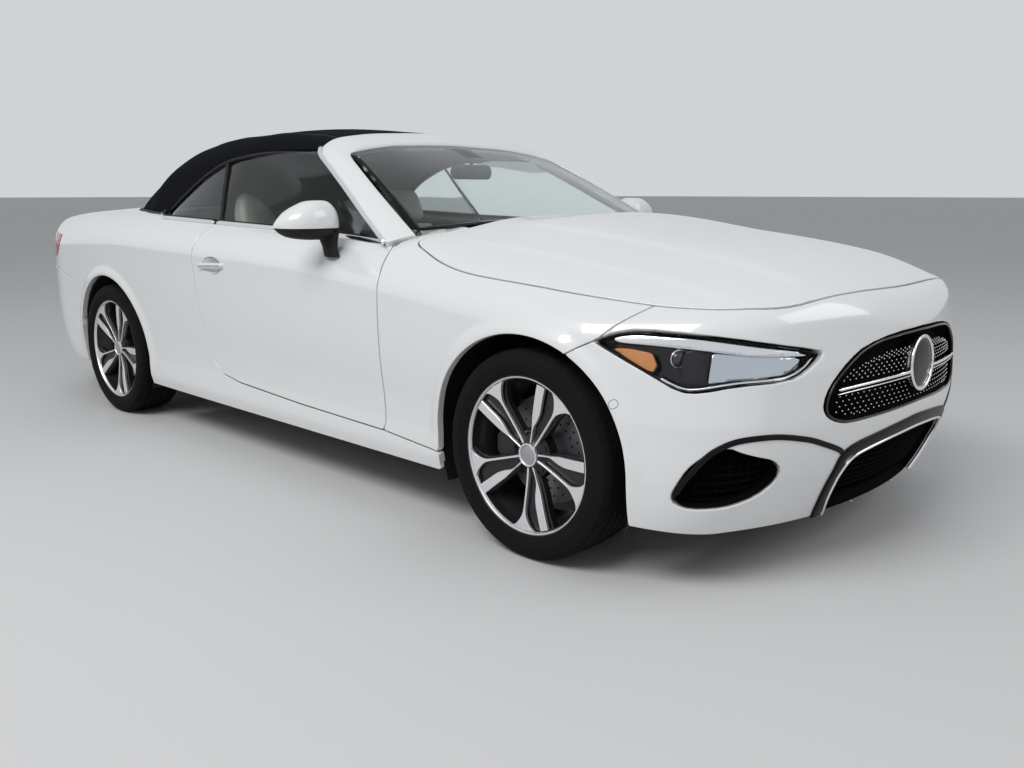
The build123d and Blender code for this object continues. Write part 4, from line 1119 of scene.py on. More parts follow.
LAMP_LOW = ((2.020, 0.835, 0.618), (2.070, 0.815, 0.596), (2.111, 0.792, 0.593), (2.196, 0.719, 0.611),
    (2.266, 0.610, 0.618), (2.289, 0.55, 0.640), (2.300, 0.515, 0.668))
both("lamp_low_line", strip(LAMP_LOW, 0.006, 0.006, 80, lift=-0.012), *LAMP_CHROME)

def axes(facing):
    """The facing direction and two more across it."""
    facing = unit(np.array(facing, float))
    side = unit(np.cross(facing, (0, 0, 1)))
    return facing, side, np.cross(side, facing)


def lens_ball(centre, radius, facing, flat=0.6):
    """Domed round lens with its bezel's centre at centre."""
    facing, side, up = axes(facing)
    rings = []
    for k in range(9):
        a = math.pi / 2 * k / 8
        r, h = radius * math.cos(a) + 1e-5, radius * flat * math.sin(a)
        rings.append([np.array(centre) + facing * h + (side * math.cos(t) + up * math.sin(t)) * r for t
            in full_circle(32)])
    return rows_mesh(rings)


def hoop(centre, radius, facing, section, n=48):
    """Ring round a centre, with a section swept along it."""
    facing, side, up = axes(facing)
    path = [np.array(centre) + (side * math.cos(t) + up * math.sin(t)) * radius for t in full_circle(n)]
    return sweep(path, section, facing, loop=True)


PROJECTOR_X, PROJECTOR_Z, PROJECTOR_R = 2.053, 0.672, 0.022
PROJECTOR_FACING = (0.85, 0.5, 0.0)
on_lamp = on_skin(PROJECTOR_X, 0.80, PROJECTOR_Z)
into = unit(gradient(on_lamp[None])[0])
both("projector_0", lens_ball(on_lamp - into * 0.034, PROJECTOR_R, PROJECTOR_FACING), PROJECTOR, FIX,
    "lamp_clear")
both("projector_ring_0", hoop(on_lamp - into * 0.032, PROJECTOR_R + 0.002, PROJECTOR_FACING,
    rounded(0.004, 0.008)), *LAMP_CHROME)

# ---- grilles ----
def centre_pocket(name, field, mat, slot, offset, rim, node=None):
    """Recessed face across the centre plane."""
    v, f, _ = panel_mesh(field, both=True, gap=0.002, depth=rim + offset, offset=offset, roll=0.001)
    obj = make(name, v, f, mat, "body", slot)
    if node:
        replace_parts(obj, node)


centre_pocket("grille_back", grille_in, VOID, "grille_black", -0.050, 0.006, "grille")
BADGE_Z, BAR_Z = 0.600, 0.574
DOT_Y, DOT_Z, DOT_LOW = 0.029, 0.0140, 0.482
DOT = ((0.0010, -0.0175), (0.0024, -0.0160), (0.0018, -0.0145), (0.0006, -0.0140))  # radius, depth
dots = []
cone = np.array([(math.cos(t), math.sin(t)) for t in full_circle(8)])
for row in range(18):
    for k in range(20):
        y, z = DOT_Y * (k + 0.5 * (row % 2)), DOT_LOW + DOT_Z * row
        at_rim = grille_in(np.array([(2.4, y, z)]))[0] < 0.008
        if at_rim or math.hypot(y, z - BADGE_Z) < 0.095 or (abs(z - BAR_Z) < 0.013 and y > 0.08):
            continue
        at = on_skin(2.5, y, z, 8)
        mesh = rows_mesh([[at + (d, r * c[0] * 1.25, r * c[1]) for c in cone] for r, d in DOT])
        dots += [mesh, flipped(*mesh)] if y > 0.001 else [mesh]
make("grille_dots", *merge(*dots), SILVER, "body", "grille_black")
BAR = [(2.43, y, 0.583 - 0.010 * (y / 0.45) ** 2) for y in np.linspace(0.458, 0.075, 9)]
both("grille_bar_top", strip(BAR, 0.009, 0.014, 80, lift=-0.004), CHROME, FIX, "grille_black")
both("grille_bar_low", strip([(x, y, z - 0.013) for x, y, z in BAR], 0.004, 0.012, 80, lift=-0.008),
    CHROME, FIX, "grille_black")
badge = (on_skin(2.45, 0.0, BADGE_Z)[0] - 0.010, 0.0, BADGE_Z)
make("roundel_face", *lens_ball(badge, 0.079, (1, 0, 0.04), 0.10), WHEEL_BLACK, "body", "grille_black")
make("roundel_ring", *merge(hoop(np.array(badge) + (0.004, 0, 0), 0.081, (1, 0, 0.04),
    rounded(0.011, 0.012, 0.004), 72), hoop(np.array(badge) + (-0.012, 0, 0), 0.079, (1, 0, 0.04),
    rounded(0.012, 0.030, 0.004), 72)), CHROME, "body", "grille_black", sharp=50)
GRILLE_RIM = [(2.42 - 0.25 * y * y, y, z) for y, z in GRILLE]
make("grille_rim", *strip(across(GRILLE_RIM[:-1])[:-1], 0.007, 0.012, 240, lift=-0.005, loop=True), *GLOSSY)

# The backs behind the lower grille and intake meshes are painted shade: near-black faces closing the
# openings, where the inside lies dark.
centre_pocket("lower_grille_back", low_in, VOID, "black_trim", -0.055, 0.006, "lower_grille")
pocket("intake_back", intake_in, VOID, FIX, "black_trim", -0.060, 0.006)
# The lower grille's mesh: level bars, then upright ones.
bars = []
for k in range(9):
    z = 0.172 + 0.0245 * k
    reach = np.interp(z, (0.17, 0.24, 0.33, 0.36, 0.39, 0.40), (0.325, 0.35, 0.352, 0.31, 0.14, 0.05))
    bars.append(strip([(2.42, y, z) for y in np.linspace(reach, -reach, 7)], 0.004, 0.020, 60,
        lift=-0.030, ends=False))
for k in range(-13, 14):
    y = 0.025 * k
    top = 0.402 - 0.10 * abs(y) if abs(y) < 0.3 else 0.35
    bars.append(strip([(2.36, y, z) for z in np.linspace(0.160, top, 5)], 0.003, 0.014, 14, lift=-0.034,
        ends=False))
make("lower_grille_mesh", *merge(*bars), *MESH_TRIM)
mesh_lines = []
for k in range(6):
    z = 0.278 + 0.025 * k
    mesh_lines.append(strip([(2.10 + 0.7 * (0.84 - y), y, z) for y in np.linspace(0.825 - 0.02 * (k > 3),
        0.62, 6)], 0.003, 0.014, 24, lift=-0.035, ends=False))
for k in range(9):
    y = 0.625 + 0.025 * k
    mesh_lines.append(strip([(2.10 + 0.7 * (0.84 - y), y, z) for z in np.linspace(0.275, 0.400 if y < 0.79
        else 0.36, 5)], 0.003, 0.012, 16, lift=-0.036, ends=False))
both("intake_mesh", merge(*mesh_lines), VOID, FIX, "black_trim")
FRAME_LINE = [(2.25, 0.353, 0.168), (2.27, 0.367, 0.200), (2.30, 0.379, 0.26), (2.33, 0.378, 0.330),
    (2.34, 0.368, 0.368), (2.36, 0.320, 0.389), (2.39, 0.20, 0.406), (2.40, 0.10, 0.416),
    (2.40, 0.0, 0.422)]
make("lower_grille_frame", *strip(across(FRAME_LINE), 0.036, 0.012, 160, lift=0.001, ends=False),
    FRAME_BLACK, "body", "black_trim", sharp=50)
CHROME_LINE = [(2.25, 0.324, 0.168), (2.28, 0.350, 0.225), (2.31, 0.360, 0.28), (2.33, 0.358, 0.320),
    (2.34, 0.342, 0.350), (2.36, 0.305, 0.369), (2.39, 0.20, 0.385), (2.40, 0.10, 0.395),
    (2.40, 0.0, 0.400)]
make("lower_grille_chrome", *strip(across(CHROME_LINE), 0.009, 0.014, 180, lift=0.003, ends=False),
    CHROME, "body", "black_trim")
ARC = ((2.085, 0.845, 0.300), (2.105, 0.835, 0.340), (2.125, 0.820, 0.372), (2.139, 0.807, 0.395),
    (2.167, 0.781, 0.430), (2.212, 0.732, 0.457), (2.265, 0.641, 0.461), (2.305, 0.536, 0.442),
    (2.325, 0.465, 0.418), (2.338, 0.400, 0.392), (2.340, 0.374, 0.374))
both("bumper_arc", strip(ARC, 0.017, 0.007, 90), FRAME_BLACK, FIX, "black_trim")
SENSOR_X, SENSOR_Z, SENSOR_R = 1.904, 0.534, 0.012
ring = [(SENSOR_X + SENSOR_R * math.cos(t), 0.87, SENSOR_Z + SENSOR_R * math.sin(t)) for t
    in full_circle(24)]
both("sensor", strip([on_skin(*at, 5) for at in ring], 0.0014, 0.0010, 40, loop=True), DARK, FIX,
    "body_paint")

# ---- door mirrors ----
# Mirror housing: y, then the height of its middle, its reach up, its reach down, half its length.
MIRROR = curve(((0.838, 0.991, 0.012, 0.012, 0.014), (0.85, 0.992, 0.045, 0.034, 0.038),
    (0.875, 0.996, 0.068, 0.054, 0.055), (0.91, 0.999, 0.082, 0.06, 0.064), (0.96, 1, 0.08, 0.06, 0.066),
    (1.005, 0.998, 0.067, 0.055, 0.062), (1.04, 0.995, 0.05, 0.045, 0.053), (1.062, 0.992, 0.032, 0.03,
    0.04), (1.074, 0.99, 0.015, 0.014, 0.022), (1.0795, 0.989, 0.003, 0.003, 0.006)))
MIRROR_REAR, MIRROR_SPLIT = 0.532, 0.984


def mirror_shell(upper, shrink=0.0, n=26):
    """Part of the mirror housing above or below its split. Its back is flat."""
    rings = []
    for t in np.linspace(0, math.pi, 30):
        y = 0.9588 - 0.1205 * math.cos(t)
        z, up, down, half = MIRROR(np.array(y))
        half, up, down = (max(value - shrink, 0.002) for value in (half, up, down))
        x = MIRROR_REAR + 0.90 * half
        low = -math.degrees(math.asin(min(max((z - MIRROR_SPLIT) / down, 0), 1) ** (1 / 0.85)))
        ring = []
        for a in np.radians(np.linspace(low, 180 - low, n) if upper else np.linspace(181 - low, 359 + low,
                n)):
            c, s = math.cos(a), math.sin(a)
            px = half * (c**0.8 if c > 0 else -0.90 * min(1, (-c * 1.35)) ** 0.5)
            ring.append((x + px, y, z + (up if s > 0 else down) * math.copysign(abs(s) ** 0.85, s)))
        rings.append(ring)
    return rows_mesh(rings)


both("mirror_cap", mirror_shell(True), *DOOR_PAINT, ("mirror_left", "mirror_right"), sharp=50)
both("mirror_lower", mirror_shell(False, 0.002), BLACK, SIDES, "black_trim", sharp=50)
face = [(y, z + 0.86 * up) for y, (z, up, down, half) in ((y, MIRROR(np.array(y))) for y
    in np.linspace(0.866, 1.050, 12))]
face += [(y, z - 0.80 * down) for y, (z, up, down, half) in ((y, MIRROR(np.array(y))) for y
    in np.linspace(1.050, 0.866, 12))]
rear_face = lambda u, v, h: np.stack((MIRROR_REAR - h, u, v), -1)
SILVERED = material("mirror_glass", (0.72, 0.75, 0.78), 1.0, 0.02, vary=0.01)
both("mirror_bezel", plate(face, -0.008, 0.002, rear_face, 0.002), GLOSS, SIDES, "black_trim", sharp=40)
both("mirror_glass", plate(inset(face, 0.006), 0.0, 0.0034, rear_face, 0.001), SILVERED, SIDES, "steel",
    sharp=40)
stalk = []
for x, y, z, hx, hy in ((0.588, 0.886, 0.968, 0.060, 0.024), (0.596, 0.890, 0.938, 0.048, 0.021),
        (0.606, 0.893, 0.914, 0.038, 0.019), (0.612, 0.894, 0.895, 0.037, 0.020), (0.614, 0.890, 0.880,
        0.040, 0.020)):
    stalk.append([(x + hx * math.cos(t), y + hy * math.sin(t), z) for t in full_circle(24)])
both("mirror_stalk", rows_mesh(stalk), BLACK, SIDES, "black_trim", sharp=60)

# ---- door handles ----
(handle_x, handle_z), (half_x, half_z) = HANDLE_AT, HANDLE_R
dish = []
for r in np.linspace(1.03, 0.02, 9):
    ring = [(handle_x + half_x * r * math.cos(t), 0.93, handle_z + half_z * r * math.sin(t)) for t
        in full_circle(48)]
    ring = project(np.array(ring), 5)
    dish.append(ring - unit(gradient(ring)) * (0.0015 + 0.020 * max(1 - r * r, 0)))
both("handle_dish", rows_mesh(dish, caps=False), *DOOR_PAINT)
BAR_LINE = ((-0.302, 0.93, 0.800), (-0.25, 0.93, 0.803), (-0.16, 0.93, 0.808), (-0.108, 0.93, 0.810))
both("handle_bar", strip(BAR_LINE, 0.025, 0.015, 60, lift=0.0035), *DOOR_PAINT)
both("handle_chrome", strip(BAR_LINE, 0.011, 0.004, 60, lift=0.0110), CHROME, SIDES, "black_trim")

# ---- belt line ----
def belt(x0, x1, out, n=12):
    """Line along the belt, a distance outside its edge."""
    return on_top([(x, float(belt_edge(x)) + out) for x in np.linspace(x0, x1, n)], form, 0.85, 1.1)


for name, x0, x1, bodies in (("door", 0.812, -0.366, SIDES), ("quarter", -0.379, -1.03, FIX)):
    taper = np.clip(np.minimum(np.arange(60), 59 - np.arange(60)) / 4 + 0.15, 0, 1)
    edge = spline(belt(x0, x1, 0.004) + (0, 0, 0.006), 60)
    both(f"belt_chrome_{name}", sweep(edge, rounded(0.008, 0.020), (0, -0.25, 0.97), scale=taper), CHROME,
        bodies, "black_trim")
    both(f"belt_seal_{name}", sweep(belt(x0, x1, -0.007) + (0, 0, 0.006), rounded(0.013, 0.020),
        (0, 0.0, 1.0)), BLACK, bodies, "black_trim")
glass_y = lambda z: 0.809 - (z - 0.932) * 0.5
split = np.array([(x, glass_y(z) + 0.001, z) for x, z in ((-0.342, 0.956), (-0.37, 1.01), (-0.42, 1.10),
    (-0.487, 1.234))])
both("window_divider", sweep(spline(split, 20), rounded(0.020, 0.010), (0, 0.9, 0.45)), *SIDE_TRIM)
on_pane = lambda u, v, h: np.stack((u, glass_y(v) - 0.003 + h, v), -1)
DOOR_PANE = ((0.790, 0.940), (0.228, 1.243), (0.176, 1.270), (-0.047, 1.272), (-0.20, 1.270),
    (-0.36, 1.258), (-0.478, 1.238), (-0.330, 0.940))
both("door_pane", plate(DOOR_PANE, -0.003, 0.002, on_pane, 0.001), GLASS, SIDES, "clear_glass",
    ("door_glass_left", "door_glass_right"), sharp=40)
pane_top = spline([(x, z - 0.006) for x, z in ((-0.494, 1.242), (-0.61, 1.206), (-0.73, 1.156),
    (-0.86, 1.080), (-0.945, 1.015), (-0.965, 0.985))], 30)
rings = []
for top, low in zip(pane_top, np.linspace((-0.345, 0.940), (-0.960, 0.950), 30)):
    _, _, edge_y, edge_z, lean = ROOF(np.array(top[0]))
    y_top, y_low = min(edge_y - lean * (top[1] - edge_z) - 0.004, glass_y(top[1])), min(glass_y(low[1]),
        belt_edge(low[0]) - 0.010)
    line = [(top[0] * v + low[0] * (1 - v), y_top * v + y_low * (1 - v), top[1] * v + low[1] * (1 - v))
        for v in np.linspace(0, 1, 8)]
    rings.append(line + [(x, y - 0.005, z) for x, y, z in line[::-1]])
both("quarter_pane", rows_mesh(rings), GLASS, FIX, "clear_glass", ("rear_side_glass",), sharp=40)
both("mirror_triangle", plate(((0.800, 0.948), (0.664, 0.953), (0.654, 0.962), (0.668, 1.008)), 0.0,
    0.008, on_pane, 0.002), GLOSS, SIDES, "black_trim", sharp=40)

# ---- cowl and wipers ----
rings = []
for y in np.linspace(-0.765, 0.765, 60):
    base = SCREEN_BASE(min(abs(y), SCREEN_LOW_Y))
    edge = np.interp(abs(y), (0, 0.15, 0.40, 0.66, 0.745, 0.80), (1.036, 1.03, 1.005, 0.965, 0.930, 0.900))
    z = float(on_top([(edge, abs(y))], form)[0, 2])
    rings.append([(edge - 0.003, y, z - 0.012), (base[0] + 0.010, y, min(base[1] - 0.002, z - 0.004)),
        (base[0] - 0.03, y, base[1] - 0.03), (edge - 0.003, y, z - 0.045)])
make("cowl", *rows_mesh(rings), *TRIM, sharp=40)
for k, (u0, u1, pivot) in enumerate(((0.84, 0.02, 0.90), (-0.04, -0.84, 0.05))):
    blade_line = np.array([screen_point(u, 0.018 + 0.016 * math.sin(math.pi * i / 11), 0.006) for i,
        u in enumerate(np.linspace(u0, u1, 12))])
    make(f"wiper_blade_{k}", *sweep(blade_line, rounded(0.008, 0.009), (0.4, 0, 0.9)), *TRIM, sharp=40)
    mid = u0 * 0.45 + u1 * 0.55
    arm = spline([screen_point(pivot, -0.020, 0.008), screen_point(pivot * 0.85 + mid * 0.15, -0.012,
        0.014), screen_point(pivot * 0.4 + mid * 0.6, 0.012, 0.016), screen_point(mid, 0.030, 0.014)], 24)
    make(f"wiper_arm_{k}", *sweep(arm, rounded(0.011, 0.006), (0.4, 0, 0.9), scale=np.linspace(1.5, 0.8,
        24)), *TRIM, sharp=40)
    make(f"wiper_pivot_{k}", *lens_ball(screen_point(pivot, -0.020, -0.006), 0.015, (0.35, 0, 0.93), 0.9),
        *TRIM)

# ---- wheel houses ----
for name, axle, inner_y, radius in (("front", FRONT_X, 0.505, 0.400), ("rear", REAR_X, 0.66, 0.384)):
    arc = np.radians(np.linspace(-24, 204, 44))
    section = ((radius, 0.880), (radius, inner_y), (radius + 0.006, inner_y), (radius + 0.006, 0.880))
    rings = [[(axle - 0.004 + r * math.cos(a), y, TYRE_R + r * math.sin(a)) for r, y in section] for a
        in arc]
    both(f"{name}_wheel_house", rows_mesh(rings), *SIDE_TRIM, sharp=40)
    wall = [(axle - 0.004 + (radius + 0.003) * math.cos(a), TYRE_R + (radius + 0.003) * math.sin(a)) for a
        in np.radians(np.linspace(8, 172, 30))]
    both(f"{name}_wheel_house_side", plate(wall, inner_y - 0.004, inner_y, on_side, 0.001), *SIDE_TRIM,
        sharp=40)

# ---- floor, sills and posts ----
FLOOR = ((0.915, 0.77), (-0.86, 0.77), (-0.90, 0.63), (-1.24, 0.63), (-1.24, -0.63), (-0.90, -0.63),
    (-0.86, -0.77), (0.915, -0.77))
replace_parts(make("floor_plate", *plate(FLOOR, 0.194, 0.228, in_plane), DARK, "body", "inner_metal",
    sharp=40), "floor_pan")
make("carpet", *plate(inset(FLOOR, 0.02), 0.226, 0.235, in_plane), CARPET, "body", "dash_plastic", sharp=40)
for k in range(4):
    low, high = (0.14 + 0.14 * k, 0.18 + 0.14 * k) if k else (-0.05, 0.05)
    rib = ((0.86, high), (-0.84, high), (-0.84, low), (0.86, low))
    make(f"floor_rib_{k}", *plate(rib, 0.190, 0.196, in_plane, 0.002), DARK, "body", "inner_metal", sharp=40)
SILL = ((1.14, 0.205), (1.14, 0.256), (0.93, 0.264), (0.893, 0.274), (0.376, 0.286), (-0.087, 0.307),
    (-0.218, 0.326), (-0.290, 0.36), (-0.36, 0.36), (-0.88, 0.36), (-0.88, 0.205))
POST = ((1.14, 0.25), (1.14, 0.60), (1.04, 0.78), (0.96, 0.852), (0.918, 0.858), (0.922, 0.78),
    (0.924, 0.65), (0.922, 0.30), (0.912, 0.25))
QUARTER_IN = ((-0.384, 0.915), (-0.384, 0.80), (-0.374, 0.70), (-0.342, 0.52), (-0.288, 0.39),
    (-0.288, 0.33), (-0.88, 0.33), (-0.885, 0.60), (-0.98, 0.72), (-1.235, 0.72), (-1.235, 0.915))
# Name, outline, inner and outer y, bevel, what it is made of, sharp angle.
for name, outline, low, high, bevel, kind, sharp in (
        ("sill_box", SILL, 0.745, 0.876, 0.003, SIDE_PAINT, 40),
        ("front_post", POST, 0.700, 0.842, 0.003, SIDE_PAINT, 40),
        ("quarter_inner", QUARTER_IN, 0.700, 0.868, 0.003, SIDE_PAINT, 40),
        ("quarter_trim", inset(QUARTER_IN, 0.010), 0.640, 0.702, 0.012, (LEATHER, FIX, "seat_leather"), 60)):
    both(name, plate(outline, low, high, on_side, bevel), *kind, sharp=sharp)
both("quarter_top", sweep([(x, float(belt_edge(x)) - 0.045, 0.925) for x in np.linspace(-0.385, -1.235,
    14)], rounded(0.085, 0.06), (0, 0, 1)), DASH, FIX, "dash_plastic", sharp=50)

# ---- insides of the doors ----
DOOR_IN = ((0.828, 0.895), (0.845, 0.870), (0.872, 0.815), (0.884, 0.76), (0.885, 0.50), (0.885, 0.312),
    (0.870, 0.303), (0.376, 0.314), (-0.080, 0.334), (-0.195, 0.352), (-0.236, 0.395), (-0.290, 0.52),
    (-0.322, 0.66), (-0.338, 0.80), (-0.338, 0.905))
CARD = ((0.79, 0.90), (0.86, 0.80), (0.87, 0.52), (0.86, 0.335), (0.376, 0.340), (-0.07, 0.360),
    (-0.17, 0.380), (-0.25, 0.50), (-0.295, 0.66), (-0.310, 0.80), (-0.310, 0.90))
INSERT = smooth(((0.72, 0.80), (0.70, 0.66), (0.10, 0.64), (-0.20, 0.66), (-0.25, 0.80), (0.20, 0.83)), 2)
for name, outline, low, high, bevel, kind, sharp in (
        ("door_inner", DOOR_IN, 0.782, 0.838, 0.003, DOOR_PAINT, 40),
        ("door_card", CARD, 0.764, 0.784, 0.008, DOOR_DASH, 60),
        ("door_insert", INSERT, 0.752, 0.768, 0.008, DOOR_LEATHER, 60)):
    both(name, plate(outline, low, high, on_side, bevel), *kind, sharp=sharp)
both("door_top_pad", sweep([(x, 0.775, 0.913 + 0.012 * (0.4 - x)) for x in np.linspace(0.77, -0.335, 12)],
    rounded(0.036, 0.052), (0, 0, 1)), *DOOR_DASH, sharp=50)
both("door_armrest", sweep(spline([(0.52, 0.752, 0.655), (0.40, 0.738, 0.640), (0.0, 0.732, 0.628),
    (-0.18, 0.750, 0.632)], 24), rounded(0.060, 0.045), (0, 0, 1)), *DOOR_LEATHER, sharp=60)
both("door_pull", sweep(spline([(0.46, 0.744, 0.700), (0.36, 0.730, 0.735), (0.24, 0.742, 0.760)], 16),
    rounded(0.018, 0.018), (0, 1, 0)), SILVER, SIDES, "steel")
both("door_speaker", merge(hoop((0.66, 0.752, 0.47), 0.085, (0, -1, 0), rounded(0.008, 0.010)),
    lens_ball((0.66, 0.757, 0.47), 0.083, (0, -1, 0), 0.08)), *DOOR_DASH)

# ---- underside of bonnet and boot lid ----
panel("bonnet_lining", lambda p: bonnet_in(p) - 0.035, BLACK, "bonnet", "black_trim", offset=-0.021,
    depth=0.003, gap=0.0, base=LINING_SKIN)
panel("boot_lining", lambda p: both_of(boot_in, outside(tail_lamp_in))(p) - 0.03, CARPET, "boot_lid",
    "black_trim", offset=-0.021, depth=0.003, gap=0.0, base=LINING_SKIN)

# ---- tail ----
panel_pair("tail_lens", tail_lamp_in, RED_LENS, FIX, "lamp_red", ("tail_lamps",), depth=0.028, gap=0.003)
GLOW = material("lamp_bar", (0.55, 0.015, 0.015), 0.0, 0.2, 0.8, vary=0.03)
for k, z in enumerate((0.800, 0.858)):
    both(f"tail_bar_{k}", strip([(-1.92 + 0.03 * k, 0.93, z), (-2.10, 0.92, z + 0.002),
        (-2.28, 0.80, z + 0.006), (-2.40, 0.60, z + 0.008), (-2.42, 0.462, z + 0.008)], 0.010, 0.003, 80,
        lift=0.0004), GLOW, FIX, "lamp_red")
panel("diffuser", both_of(tail_in_all, in_tail(DIFFUSER), outside(in_tail(PIPE_HOLE))), *TRIM, gap=0.001,
    depth=0.02, offset=-0.002)
centre_pocket("plate_recess", in_tail(PLATE), PAINT, "body_paint", -0.020, 0.003)
pipe = rounded(0.150, 0.058, 0.026, 6)
tube = [[(x, PIPE_Y + p * s, PIPE_Z + q * s) for p, q in pipe] for x, s in ((-2.25, 1.0), (-2.348, 1.0),
    (-2.352, 0.985), (-2.352, 0.93), (-2.345, 0.915), (-2.26, 0.90), (-2.255, 0.05))]
both("exhaust_tip", rows_mesh(tube), CHROME, FIX, "steel", sharp=50)
both("rear_reflector", strip([(-2.36, 0.77, 0.40), (-2.39, 0.66, 0.40), (-2.40, 0.56, 0.40)], 0.018,
    0.004, 40, lift=0.001), RED_LENS, FIX, "lamp_red")
round_pipe = []
for t in np.linspace(0.02, 2 * math.pi + 0.02, 24, endpoint=False):
    across_pipe = 0.082 * math.cos(t) * abs(math.cos(t)) ** -0.4
    round_pipe.append((-2.4, PIPE_Y + across_pipe, PIPE_Z + 0.037 * math.sin(t) * abs(math.sin(t)) ** -0.4))
both("pipe_surround", strip(round_pipe, 0.008, 0.008, 90, loop=True), CHROME, FIX, "black_trim")

# ---- seats ----
def soft(name, half_form, low, high, place, mat, body, slot, h=0.011, fill=0.7, node=None):
    """Padded piece meshed from a form that is the same on both sides of its own middle plane."""
    v, t = skin_mesh(h, half_form, low, high)
    v, t = cut(v, t, lambda p: p[:, 1], 0.0, drop=True)
    v, t = packed(v, t)
    v[np.abs(v[:, 1]) < 1e-5, 1] = 0
    n = unit(gradient(v, shape=half_form))
    verts, faces, n = with_mirror_image(v, [tuple(f) for f in t], n, v[:, 1] == 0.0)
    n = unit(n)
    moved = place(verts)
    turned_n = unit(place(verts + n * 0.001) - moved)
    obj = make(name, moved, faces, mat, body, slot, normals=turned_n)
    if node:
        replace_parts(obj, node)
    return obj


def tilt(y0, x0, z0, angle):
    """Leans a local form back about the line (x0, z0) and moves it sideways."""
    c, s = math.cos(math.radians(angle)), math.sin(math.radians(angle))

    def place(p):
        p = np.asarray(p, float)
        dx, dz = p[..., 0] - x0, p[..., 2] - z0
        return np.stack((x0 + dx * c - dz * s, p[..., 1] + y0, z0 + dx * s + dz * c), -1)
    return place


groove = lambda d, depth: depth * np.exp(-(d / SEAM_W) ** 2)
row_of_grooves = lambda d, centres: sum(groove(d - c, 0.0045) for c in centres)
crown_over = lambda y, middle, half: 1 - np.clip(np.abs(y - middle) / half, 0, 1) ** 2


def pad_form(x0, x1, half, z0, z1, r, top=None, front=None, pinch=0.008, taper=None):
    """Cushion: top and front give how far those faces are pushed out, sides pull in between the corners."""
    def value(p):
        x, y, z = p[..., 0], np.abs(p[..., 1]), p[..., 2]
        u, w = (x - x0) / (x1 - x0) * 2 - 1, (z - z0) / (z1 - z0) * 2 - 1
        wide = half - pinch * (1 - np.clip(u, -1, 1) ** 2) * (1 - np.clip(w, -1, 1) ** 2) - (0
            if taper is None else taper(x, z))
        high = z1 + (0 if top is None else top(x, y))
        fore = x1 + (0 if front is None else front(y, z))
        d = rmax(rmax(z - high, z0 - z, r), rmax(x - fore, x0 - x, r), r)
        return rmax(d, y - wide, r)
    return value


BOLSTER, SEAM_W = 0.165, 0.006
BENCH_MIDDLE, BENCH_HALF, BENCH_IN, BENCH_OUT = 0.32, 0.22, 0.09, 0.53
bench_grooves = lambda y: groove(y - BENCH_IN, 0.006) + groove(y - BENCH_OUT, 0.006)
on_bench = lambda y: (y > BENCH_IN) & (y < BENCH_OUT)


def base_top(x, y):
    rise = 0.028 * step(y, 0.15, 0.215) * step(-x, -0.19, -0.06) + 0.012 * (1 - (y / 0.26) ** 2)
    rise = rise + 0.016 * step(x, 0.0, 0.16) - 0.030 * step(x, 0.15, 0.20)
    return rise - groove(y - BOLSTER, 0.007) - (y < BOLSTER) * row_of_grooves(x, (-0.20, -0.13, -0.06,
        0.01, 0.08))


def back_front(y, z):
    rise = 0.040 * step(y, 0.145, 0.21) * (1 - step(z, 0.80, 0.93)) + 0.012 * (1 - (y / 0.26) ** 2)
    rise = rise + 0.014 * np.exp(-((z - 0.55) / 0.12) ** 2) - groove(y - BOLSTER + 0.02 * step(z, 0.7,
        0.95), 0.007)
    return rise - (y < BOLSTER) * row_of_grooves(z, (0.48, 0.55, 0.62, 0.69, 0.76, 0.83))


base_form = pad_form(-0.325, 0.198, 0.250, 0.300, 0.400, 0.034, top=base_top)
back_form = pad_form(-0.338, -0.262, 0.246, 0.385, 0.985, 0.034, pinch=0.010, front=back_front,
                     taper=lambda x, z: 0.055 * step(z, 0.72, 1.0))
head_form = pad_form(-0.322, -0.240, 0.134, 1.003, 1.168, 0.034, pinch=0.004,
                     front=lambda y, z: 0.006 * (1 - (y / 0.13) ** 2) - groove(z - 1.035, 0.004),
                     taper=lambda x, z: 0.016 * step(z, 1.09, 1.17))
for side, y0 in (("left", SEAT_Y), ("right", -SEAT_Y)):
    lean = tilt(y0, -0.28, 0.40, SEAT_BACK_LEAN)
    soft(f"seat_cushion_{side}", base_form, (-0.36, 0.27), (0.24, 0.28, 0.47), tilt(y0, 0, 0, 0),
        *SEAT_PART, node="front_seats" if side == "left" else None)
    soft(f"seat_back_{side}", back_form, (-0.37, 0.35), (-0.17, 0.28, 1.02), lean, *SEAT_PART)
    soft(f"seat_head_{side}", head_form, (-0.35, 0.97), (-0.20, 0.16, 1.20), lean, *SEAT_PART, h=0.010)
    shell_form = plate(smooth(((-0.22, 0.42), (-0.225, 0.80), (-0.16, 0.955), (0.16, 0.955),
        (0.225, 0.80), (0.22, 0.42)), 2), -0.352, -0.333, lambda u, v, h: lean(np.stack((h, u, v), -1)),
        0.006)
    make(f"seat_shell_{side}", *shell_form, *DASH_PART, sharp=50)
    posts = [sweep(lean(np.array([(-0.282, y, z) for z in np.linspace(0.96, 1.03, 4)])),
        rounded(0.011, 0.011, n=4), (0, 1, 0)) for y in (-0.055, 0.055)]
    make(f"seat_posts_{side}", *merge(*posts), CHROME, "body", "steel")
    stand = plate(((0.17, 0.20), (0.17, -0.20), (-0.30, -0.20), (-0.30, 0.20)), 0.262, 0.312, lambda u, v,
        h: np.stack((u, v + y0, h), -1), 0.006)
    rails = [sweep([(-0.28, y0 + y, 0.247), (0.16, y0 + y, 0.247)], rounded(0.030, 0.024), (0, 0, 1))
        for y in (-0.17, 0.17)]
    make(f"seat_stand_{side}", *merge(stand, *rails), *DASH_PART, sharp=50)


def bench_top(x, y):
    rise = 0.020 * crown_over(y, BENCH_MIDDLE, BENCH_HALF) + 0.012 * step(-x, 0.66, 0.74) - bench_grooves(y)
    return rise - on_bench(y) * row_of_grooves(x, (-1.0, -0.93, -0.86, -0.79, -0.72))


